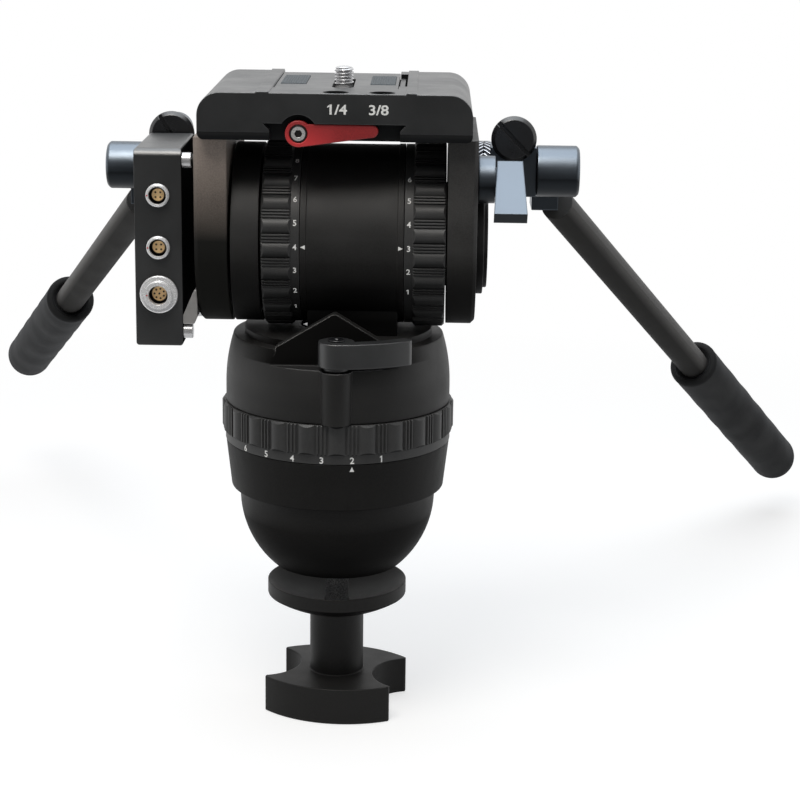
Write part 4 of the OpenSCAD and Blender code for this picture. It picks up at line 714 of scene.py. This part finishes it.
class HEAD_OT_fit_sockets(bpy.types.Operator):
    """Dress the round sockets: bright shells with painted shade in their bores, insulators with painted shade round
    their pale faces, contact holes covered by discs of painted shade, and keying dots
    """

    bl_idname = "video_head.fit_sockets"
    bl_label = "Fit Sockets"

    def execute(self, context):
        shell = Nodes("socket_shell")
        place = shell.place()
        fine = shell.noise(place, 2600)
        # Painted shade inside the bore, behind the shell's front
        inside = shell.span(shell.split(place)["Y"], -31.6 * MM, -30.4 * MM, 0, 1)
        shell.set(
            Base_Color=shell.mix(inside, (0.92, 0.92, 0.93), (0.02, 0.02, 0.022)),
            Roughness=shell.span(fine, 0.3, 0.7, 0.18, 0.3),
            Normal=shell.bump(fine, 0.006 * MM),
            Metallic=0.45,
        )
        insert = Nodes("insert_tan")
        place = insert.place()
        fine = insert.noise(place, 1800, 3.0)
        cream = insert.mix(insert.span(fine, 0.3, 0.7, 0, 1), (0.95, 0.62, 0.28), (1.0, 0.70, 0.36))
        level = insert.add("ShaderNodeVectorMath", operation="MULTIPLY")
        level.inputs[1].default_value = (1, 0, 1)
        insert.link(place, level.inputs[0])
        for z, *_, pale in SOCKETS:
            reach = insert.add("ShaderNodeVectorMath", operation="DISTANCE")
            insert.link(level.outputs[0], reach.inputs[0])
            reach.inputs[1].default_value = (SOCKET_X, 0, TILT_AXIS + z * MM)
            # Painted shade in the gap round each insert's pale face
            rim = insert.span(reach.outputs["Value"], pale * MM, (pale + 0.15) * MM, 0, 1)
            near = insert.span(reach.outputs["Value"], 8 * MM, 9 * MM, 1, 0)
            cream = insert.mix(insert.math("MULTIPLY", rim, near), cream, (0.035, 0.02, 0.01))
        insert.set(
            Base_Color=cream,
            Roughness=insert.span(fine, 0.3, 0.7, 0.32, 0.45),
            Normal=insert.bump(fine, 0.01 * MM),
        )
        dress("small_sockets large_socket", shell.material)
        dress("small_inserts large_insert", insert.material)
        dot = Nodes("keying_red")
        fine = dot.noise(dot.place(), 2000)
        dot.set(Base_Color=dot.mix(fine, (0.40, 0.02, 0.02), (0.55, 0.03, 0.03)), Roughness=0.4)
        # Dark gold-brown discs over the contact holes: the contacts' colour with painted shade of the holes
        hole_shade = Nodes("contact_hole_shade")
        fine = hole_shade.noise(hole_shade.place(), 3000)
        hole_shade.set(Base_Color=hole_shade.mix(fine, (0.05, 0.018, 0.004), (0.08, 0.03, 0.008)), Roughness=0.5)
        dots, hole_shades = [], []
        face = BOX_FRONT + INSERT_DEPTH - 0.03 * MM
        facing = Matrix.Rotation(math.radians(90), 4, "X")
        for z, bore, count, ring, front, _ in SOCKETS:
            middle = Vector((SOCKET_X, 0, TILT_AXIS + z * MM))
            spots = [((i + 0.5) * 2 * math.pi / count, ring) for i in range(count)]
            if count == 7:
                spots.append((0, 0))
            for turn, reach in spots:
                at = middle + Vector((reach * MM * math.cos(turn), face, -reach * MM * math.sin(turn)))
                hole_shades.append(revolve([(0, 0), (0.5 * MM, 0)], 20, Matrix.Translation(at) @ facing))
            at = middle + Vector((-(bore + 0.75) * MM, -front * MM - 0.02 * MM, 0))
            dots.append(revolve([(0, 0.05 * MM), (0.34 * MM, 0.04 * MM), (0.42 * MM, 0)], 20,
                                Matrix.Translation(at) @ facing))
        new_piece("contact_hole_shade_discs", *join_parts(hole_shades), "tilt_unit", "gold_contact", hole_shade.material)
        new_piece("keying_dots", *join_parts(dots), "tilt_unit", "red_lever", dot.material)
        return {"FINISHED"}


class HEAD_OT_make_quick_lever(bpy.types.Operator):
    """Build the red quick lock lever as one plate with its eye, and a floor in the eye for the screw"""

    bl_idname = "video_head.make_quick_lever"
    bl_label = "Make Quick Lever"

    def execute(self, context):
        color = context.scene.head_finishes.red
        nodes = Nodes("lever_red")
        place = nodes.place()
        fine = nodes.noise(place, 2600, 3.0)
        broad = nodes.noise(place, 160, 3.0)
        # Edges lighter red, partly worn and partly painted highlight
        scuff_and_highlight = nodes.math("MULTIPLY", edge_mask(nodes, 0.5 * MM), nodes.span(broad, 0.4, 0.6, 0.2, 0.8))
        shade = nodes.mix(nodes.span(fine, 0.35, 0.7, 0, 1), tone(color, 0.72), tone(color, 1.12))
        spot = nodes.split(place)
        # Painted highlight near the pivot, strongest low down
        root = nodes.math("MULTIPLY", nodes.span(spot["X"], -11 * MM, 4 * MM, 1, 0),
                          nodes.span(spot["Z"], TILT_AXIS + 51 * MM, TILT_AXIS + 60 * MM, 1, 0.25))
        shade = nodes.mix(root, shade, tone(color, 1.9))
        nodes.set(
            Base_Color=nodes.mix(scuff_and_highlight, shade, (0.60, 0.10, 0.09)),
            Roughness=nodes.span(broad, 0.3, 0.7, 0.4, 0.52),
            Normal=nodes.bump(fine, 0.03 * MM),
        )
        front, back = -54.8 * MM, -50.8 * MM
        head, tip, length, rise, seat, bore = 6.3 * MM, 3.0 * MM, 34.8 * MM, 1.6 * MM, 4.4 * MM, 2.5 * MM
        pivot = Vector((-17.2 * MM, 0, TILT_AXIS + 56 * MM))
        side = math.atan2(rise, length) + math.asin((head - tip) / math.hypot(length, rise)) - math.pi / 2
        start = math.asin((rise + tip) / head)
        outline = [(head * math.cos(a), head * math.sin(a))
                   for a in (start + (2 * math.pi + side - start) * k / 60 for k in range(61))]
        outline += [(length + tip * math.cos(a), rise + tip * math.sin(a))
                    for a in (side + (math.pi / 2 - side) * k / 24 for k in range(25))]
        eye = [(seat * math.cos(a), -seat * math.sin(a)) for a in (2 * math.pi * k / 64 for k in range(64))]
        verts, faces = plate_with_eye(outline, eye, back - front, 0.5 * MM)
        plate = [pivot + Vector((x, (front + back) / 2 - z, y)) for x, y, z in verts], faces
        upright = Matrix.Translation(pivot) @ Matrix.Rotation(math.radians(90), 4, "X")
        floor = revolve([(bore, -back), (bore, -front - 2 * MM), (seat + 0.1 * MM, -front - 2 * MM)], 64, upright)
        lever = new_piece("quick_lever_red", *join_parts([plate, floor]), "quick_lock", "red_lever", nodes.material)
        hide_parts("quick_lever")
        self.dress_screw(pivot)
        return {"FINISHED"}

    def dress_screw(self, pivot):
        nodes = Nodes("lever_screw_steel")
        place = nodes.place()
        spot = nodes.split(place)
        across = nodes.math("POWER", nodes.math("SUBTRACT", spot["X"], pivot.x), 2.0)
        along = nodes.math("POWER", nodes.math("SUBTRACT", spot["Z"], pivot.z), 2.0)
        reach = nodes.math("SQRT", nodes.math("ADD", across, along))
        fine = nodes.noise(place, 2600)
        # Painted shade round the screw head and on its recessed parts
        deep = nodes.span(spot["Y"], -54.2 * MM, -53.9 * MM, 0, 1)
        dark = nodes.math("MAXIMUM", nodes.span(reach, 3.3 * MM, 3.45 * MM, 0, 1), deep)
        nodes.set(
            Base_Color=nodes.mix(dark, (0.62, 0.61, 0.60), (0.035, 0.03, 0.03)),
            Roughness=nodes.span(fine, 0.3, 0.7, 0.24, 0.36),
            Normal=nodes.bump(fine, 0.008 * MM),
            Metallic=0.5,
        )
        dress("quick_lever_screw", nodes.material)


class HEAD_OT_make_camera_screw(bpy.types.Operator):
    """Build the camera screw with its helical thread and domed end"""

    bl_idname = "video_head.make_camera_screw"
    bl_label = "Make Camera Screw"

    def execute(self, context):
        low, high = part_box("camera_screw")
        axis = Matrix.Translation(((low.x + high.x) / 2, (low.y + high.y) / 2, 0))
        crest, root, pitch, dome = 4.7625 * MM, 3.9 * MM, 1.5875 * MM, 2.0 * MM
        neck, head, collar = PLATE_TOP, (high.x - low.x) / 2, 4.3 * MM
        seat = low.z + 3.6 * MM
        bevel = 0.4 * MM
        shank = revolve([(0, low.z), (head - bevel, low.z), (head, low.z + bevel), (head, seat - bevel),
                         (head - bevel, seat), (collar, seat), (collar, neck)], 64, axis)
        around, per_pitch = 72, 14
        count = int((high.z - neck) / pitch * per_pitch)
        verts, faces = [], []
        for row in range(count + 1):
            z = neck + (high.z - neck) * row / count
            rest = max(0.0, (z - high.z + dome) / dome)
            limit = crest * (0.52 + 0.48 * math.sqrt(max(0.0, 1 - rest ** 2)))
            for i in range(around):
                turn = i / around
                share = ((z - neck) / pitch - turn) % 1.0
                tooth = min(1.0, max(0.0, 1.3 - abs(share - 0.5) * 3.0))
                radius = min(root + (crest - root) * tooth, limit)
                angle = 2 * math.pi * turn
                verts.append(axis @ Vector((radius * math.cos(angle), radius * math.sin(angle), z)))
        for row in range(count):
            for i in range(around):
                j = (i + 1) % around
                a = row * around
                faces.append((a + i, a + j, a + around + j, a + around + i))
        faces.append(tuple(range(count * around, count * around + around)))
        screw = new_piece("threaded_camera_screw", *join_parts([shank, (verts, faces)]), "camera_screw", "steel",
                          turned_metal("screw_steel", (0.66, 0.66, 0.67), 0.2))
        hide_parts("camera_screw")
        return {"FINISHED"}


class HEAD_OT_make_pads(bpy.types.Operator):
    """Build the two ribbed rubber pads of the camera plate"""

    bl_idname = "video_head.make_pads"
    bl_label = "Make Pads"

    def execute(self, context):
        nodes = Nodes("pad_rubber")
        fine = nodes.noise(nodes.place(), 1400, 3.0)
        nodes.set(
            Base_Color=nodes.mix(nodes.span(fine, 0.3, 0.7, 0, 1), (0.020, 0.029, 0.036), (0.036, 0.049, 0.058)),
            Roughness=nodes.span(fine, 0.3, 0.7, 0.5, 0.66),
            Normal=nodes.bump(fine, 0.03 * MM),
        )
        base, top, ribs = TILT_AXIS + 73.8 * MM, TILT_AXIS + 75.4 * MM, 10
        parts = []
        for left, right in ((-28.6, -16.0), (15.4, 27.6)):
            pitch = (right - left) / ribs
            outline = [(left, base)]
            for i in range(ribs):
                for k in range(7):
                    share = k / 6
                    lift = math.sqrt(max(0.0, 1 - (2 * share - 1) ** 2)) * 0.2 * MM
                    outline.append((left + pitch * (i + 0.04 + 0.92 * share), top - 0.2 * MM + lift))
            outline.append((right, base))
            verts, faces = [], []
            ends = (-11.0, -10.6, 28.6, 29.0)
            for n, y in enumerate(ends):
                drop = 0.35 * MM if n in (0, 3) else 0
                verts += [Vector((x * MM, y * MM, z - (drop if z > base else 0))) for x, z in outline]
            count = len(outline)
            for n in range(3):
                for i in range(count - 1):
                    a = n * count + i
                    faces.append((a, a + count, a + count + 1, a + 1))
            faces.append(tuple(range(count)))
            faces.append(tuple(reversed(range(3 * count, 4 * count))))
            parts.append((verts, faces))
        pads = new_piece("ribbed_pads", *join_parts(parts), "camera_plate", "pad_rubber", nodes.material, False)
        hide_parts("plate_pads")
        return {"FINISHED"}


class HEAD_OT_make_grips(bpy.types.Operator):
    """Build the foam grips of both pan bars"""

    bl_idname = "video_head.make_grips"
    bl_label = "Make Grips"

    def execute(self, context):
        want = context.scene.head_grips
        color = context.scene.head_finishes.foam
        nodes = Nodes("grip_foam")
        place = nodes.place()
        cells = nodes.add("ShaderNodeTexVoronoi")
        cells.inputs["Scale"].default_value = 1100
        nodes.link(place, cells.inputs["Vector"])
        broad = nodes.noise(place, 60, 4.0)
        fine = nodes.noise(place, 2200, 2.0)
        height = nodes.math("ADD", cells.outputs["Distance"], fine)
        nodes.set(
            Base_Color=nodes.mix(nodes.span(broad, 0.3, 0.7, 0, 1), tone(color, 0.75), tone(color, 1.3)),
            Roughness=nodes.span(broad, 0.3, 0.7, 0.72, 0.86),
            Normal=nodes.bump(height, 0.06 * MM, 0.8),
        )
        nodes.coat.inputs["Specular IOR Level"].default_value = 0.3
        nodes.coat.inputs["Sheen Weight"].default_value = 0.06
        nodes.coat.inputs["Sheen Roughness"].default_value = 0.45
        nodes.coat.inputs["Sheen Tint"].default_value = (0.62, 0.64, 0.70, 1)
        bars = (("left", (-102.7, 55.0, 9.9), 20.7, 24.5), ("right", (105.9, 55.0, 14.3), 30.6, 33.2))
        for side, point, splay, drop in bars:
            sign = -1 if side == "left" else 1
            start = Vector((point[0] * MM, point[1] * MM, TILT_AXIS + point[2] * MM))
            along = (Matrix.Translation(start) @ Matrix.Rotation(math.radians(-sign * splay), 4, "Z")
                     @ Matrix.Rotation(math.radians(-90 - drop), 4, "X"))
            near, far, tube = 242 * MM, 427 * MM, 8.78 * MM
            lip, radius = want.lip, want.radius
            profile = [(tube, near + 6 * MM), (tube, near + 2.2 * MM)]
            inner = tube + 1.4 * MM
            for k in range(7):
                turn = math.pi * k / 12
                profile.append((inner + 0.9 * MM * math.sin(turn), near + 1.6 * MM * (1 - math.sin(turn))))
            for k in range(9):
                turn = math.pi / 2 * k / 8
                profile.append((radius - lip + lip * math.sin(turn), near + lip - lip * math.cos(turn)))
            dome = far - radius
            for k in range(1, 60):
                share = k / 60
                wave = want.swell * math.sin(share * 34) * math.sin(math.pi * share)
                profile.append((radius - 0.15 * MM + wave, near + lip + (dome - near - lip) * share))
            for k in range(20):
                turn = math.pi / 2 * k / 19
                profile.append((radius * math.cos(turn) if k < 19 else 0.0, dome + radius * math.sin(turn)))
            grip = new_piece(f"foam_grip_{side}", *revolve(profile, 72, along), f"{side}_bar", "grip_foam",
                             nodes.material)
            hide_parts(f"grip_{side}")
        return {"FINISHED"}


class HEAD_OT_make_level(bpy.types.Operator):
    """Dress the bubble level on the operator's side"""

    bl_idname = "video_head.make_level"
    bl_label = "Make Level"

    def execute(self, context):
        black = coat("level_ring_black", (0.015, 0.015, 0.016), 0.4, 0.4 * MM, 0.02 * MM)
        dress("level_body", black)
        vial = Nodes("level_vial")
        swirl = vial.noise(vial.place(), 120, 3.0)
        vial.set(
            Base_Color=vial.mix(vial.span(swirl, 0.3, 0.7, 0, 1), (0.34, 0.46, 0.03), (0.44, 0.58, 0.06)),
            Roughness=0.06,
        )
        vial.coat.inputs["Coat Weight"].default_value = 0.6
        vial.coat.inputs["Coat Roughness"].default_value = 0.03
        dress("level_glass", vial.material)
        top = Vector((0, 40.0 * MM, 90.6 * MM))
        ring = revolve([(1.9 * MM, 0.02 * MM), (2.2 * MM, 0.02 * MM)], 48, Matrix.Translation(top))
        new_piece("level_circle", *ring, "pan_unit", "level_metal", black, False)
        pale = Nodes("level_bubble")
        swirl = pale.noise(pale.place(), 300)
        pale.set(Base_Color=pale.mix(swirl, (0.62, 0.72, 0.24), (0.72, 0.80, 0.36)), Roughness=0.08)
        arc = [(1.55 * MM * math.cos(a), 0.28 * MM * math.sin(a)) for a in (0, 0.25, 0.55, 0.9, 1.25)]
        bubble = revolve([*arc, (0, 0.28 * MM)], 36, Matrix.Translation(top + Vector((0.2 * MM, 0.15 * MM, 0))))
        new_piece("level_bubble", *bubble, "pan_unit", "level_vial", pale.material)
        return {"FINISHED"}


class HEAD_OT_make_stage(bpy.types.Operator):
    """Set up the camera, the soft lamps, the pale floor and the white backdrop"""

    bl_idname = "video_head.make_stage"
    bl_label = "Make Stage"

    def execute(self, context):
        want = context.scene.head_stage
        scene = context.scene
        scene.view_settings.view_transform = "Standard"
        self.add_camera(scene, want.lens)
        self.add_lamp("top_softbox", (0, 0.15, 1.5), (0, 0, 0.1), 1.7, want.top_lamp, (0.86, 0.93, 1.0))
        self.add_lamp("front_softbox", (-0.3, -0.75, 1.45), (0, 0, 0.1), 0.8, want.front_lamp, (1.0, 0.96, 0.90))
        self.add_world(scene, want.ambient)
        self.add_floor()
        return {"FINISHED"}

    def add_camera(self, scene, lens):
        camera = bpy.data.cameras.new("photo_camera")
        camera.lens = lens
        camera.sensor_width = 36
        camera.clip_start, camera.clip_end = 0.05, 50
        obj = bpy.data.objects.new("photo_camera", camera)
        scene.collection.objects.link(obj)
        azimuth, rise, roll = (math.radians(a) for a in (0.8, 14.266, 0.757))
        forward = Vector((-math.sin(azimuth) * math.cos(rise), math.cos(azimuth) * math.cos(rise), -math.sin(rise)))
        right = Vector((math.cos(azimuth), math.sin(azimuth), 0))
        up = right.cross(forward)
        side = math.cos(roll) * right + math.sin(roll) * up
        top = -math.sin(roll) * right + math.cos(roll) * up
        turn = Matrix((side, top, -forward)).transposed().to_4x4()
        obj.matrix_world = Matrix.Translation((46.66 * MM, -1068.95 * MM, TILT_AXIS + 185.28 * MM)) @ turn
        scene.camera = obj

    def add_lamp(self, name, place, target, size, power, color):
        lamp = bpy.data.lights.new(name, "AREA")
        lamp.shape = "DISK"
        lamp.size = size
        lamp.energy = power
        lamp.color = color
        obj = bpy.data.objects.new(name, lamp)
        bpy.context.scene.collection.objects.link(obj)
        aim = Vector(target) - Vector(place)
        obj.matrix_world = Matrix.Translation(place) @ aim.to_track_quat("-Z", "Y").to_matrix().to_4x4()

    def add_world(self, scene, ambient):
        world = bpy.data.worlds.new("studio")
        nodes = Tree(world)
        soft = nodes.shader("ShaderNodeBackground", (0.97, 0.98, 1.0), ambient)
        white = nodes.shader("ShaderNodeBackground", strength=self.room_level(nodes))
        both = nodes.blend(nodes.backdrop_share(), soft, white)
        nodes.link(both, nodes.add("ShaderNodeOutputWorld").inputs[0])
        scene.world = world

    def room_level(self, nodes):
        """White behind and above the object; the room in front of it is dimmer in gloss"""
        toward = nodes.split(nodes.add("ShaderNodeTexCoord").outputs["Generated"])
        level = nodes.add("ShaderNodeLightPath").outputs["Is Camera Ray"]
        for axis, low, high in (("Y", -0.4, 0.1), ("Z", 0.45, 0.85)):
            level = nodes.math("MAXIMUM", level, nodes.span(toward[axis], low, high, ROOM_LEVEL, 1))
        return level

    def floor_material(self):
        """White away from the object, with its shadow close by, and dimmer in gloss in front of it"""
        floor = bpy.data.materials.new("pale_floor")
        nodes = Tree(floor)
        matte = nodes.shader("ShaderNodeBsdfDiffuse", (0.8, 0.8, 0.8))
        near = nodes.add("ShaderNodeAddShader")
        nodes.link(nodes.shader("ShaderNodeEmission", strength=0.62), near.inputs[0])
        nodes.link(nodes.shader("ShaderNodeBsdfDiffuse", (0.5, 0.5, 0.5)), near.inputs[1])
        spot = nodes.add("ShaderNodeNewGeometry").outputs["Position"]
        length = nodes.add("ShaderNodeVectorMath", operation="LENGTH")
        nodes.link(spot, length.inputs[0])
        away = nodes.span(length.outputs["Value"], 0.35, 0.95, 0, 1)
        pale = nodes.blend(away, near.outputs[0], nodes.shader("ShaderNodeEmission", strength=1))
        dusk = nodes.math("MULTIPLY", nodes.span(nodes.split(spot)["Y"], -0.15, -0.5, 0, 1),
                          nodes.add("ShaderNodeLightPath").outputs["Is Glossy Ray"])
        seen = nodes.blend(dusk, pale, nodes.shader("ShaderNodeEmission", strength=ROOM_LEVEL))
        both = nodes.blend(nodes.backdrop_share(), matte, seen)
        nodes.link(both, nodes.add("ShaderNodeOutputMaterial").inputs[0])
        return floor

    def add_floor(self):
        size, level = 6.0, CAD_BOX[0][2] - 0.2 * MM
        mesh = bpy.data.meshes.new("floor")
        mesh.from_pydata([(-size, -size, level), (size, -size, level), (size, size, level), (-size, size, level)], [],
                         [(0, 1, 2, 3)])
        mesh.materials.append(self.floor_material())
        obj = bpy.data.objects.new("floor", mesh)
        bpy.context.scene.collection.objects.link(obj)


OPERATORS = (
    HEAD_OT_dress_solids, HEAD_OT_dress_rosettes, HEAD_OT_print_dials, HEAD_OT_print_marks, HEAD_OT_fit_sockets,
    HEAD_OT_make_quick_lever, HEAD_OT_make_camera_screw, HEAD_OT_make_pads, HEAD_OT_make_grips,
    HEAD_OT_make_level, HEAD_OT_make_stage,
)


class HEAD_PT_pieces(bpy.types.Panel):
    """Pieces of the video head"""

    bl_idname = "HEAD_PT_pieces"
    bl_label = "Video Head"
    bl_space_type = "VIEW_3D"
    bl_region_type = "UI"
    bl_category = "Video Head"

    def draw(self, context):
        for operator in OPERATORS:
            self.layout.operator(operator.bl_idname)


GROUPS = {
    "head_finishes": HeadFinishes, "head_markings": HeadMarkings, "head_grips": HeadGrips, "head_stage": HeadStage,
}


def register():
    for group in GROUPS.values():
        bpy.utils.register_class(group)
    for operator in OPERATORS:
        bpy.utils.register_class(operator)
    bpy.utils.register_class(HEAD_PT_pieces)
    for name, group in GROUPS.items():
        setattr(bpy.types.Scene, name, bpy.props.PointerProperty(type=group))


def unregister():
    for name in GROUPS:
        delattr(bpy.types.Scene, name)
    bpy.utils.unregister_class(HEAD_PT_pieces)
    for operator in reversed(OPERATORS):
        bpy.utils.unregister_class(operator)
    for group in reversed(GROUPS.values()):
        bpy.utils.unregister_class(group)


def main():
    register()
    bpy.ops.video_head.dress_solids()
    bpy.ops.video_head.dress_rosettes()
    bpy.ops.video_head.print_dials()
    bpy.ops.video_head.print_marks()
    bpy.ops.video_head.fit_sockets()
    bpy.ops.video_head.make_quick_lever()
    bpy.ops.video_head.make_camera_screw()
    bpy.ops.video_head.make_pads()
    bpy.ops.video_head.make_grips()
    bpy.ops.video_head.make_level()
    bpy.ops.video_head.make_stage()


if __name__ == "__main__":
    main()
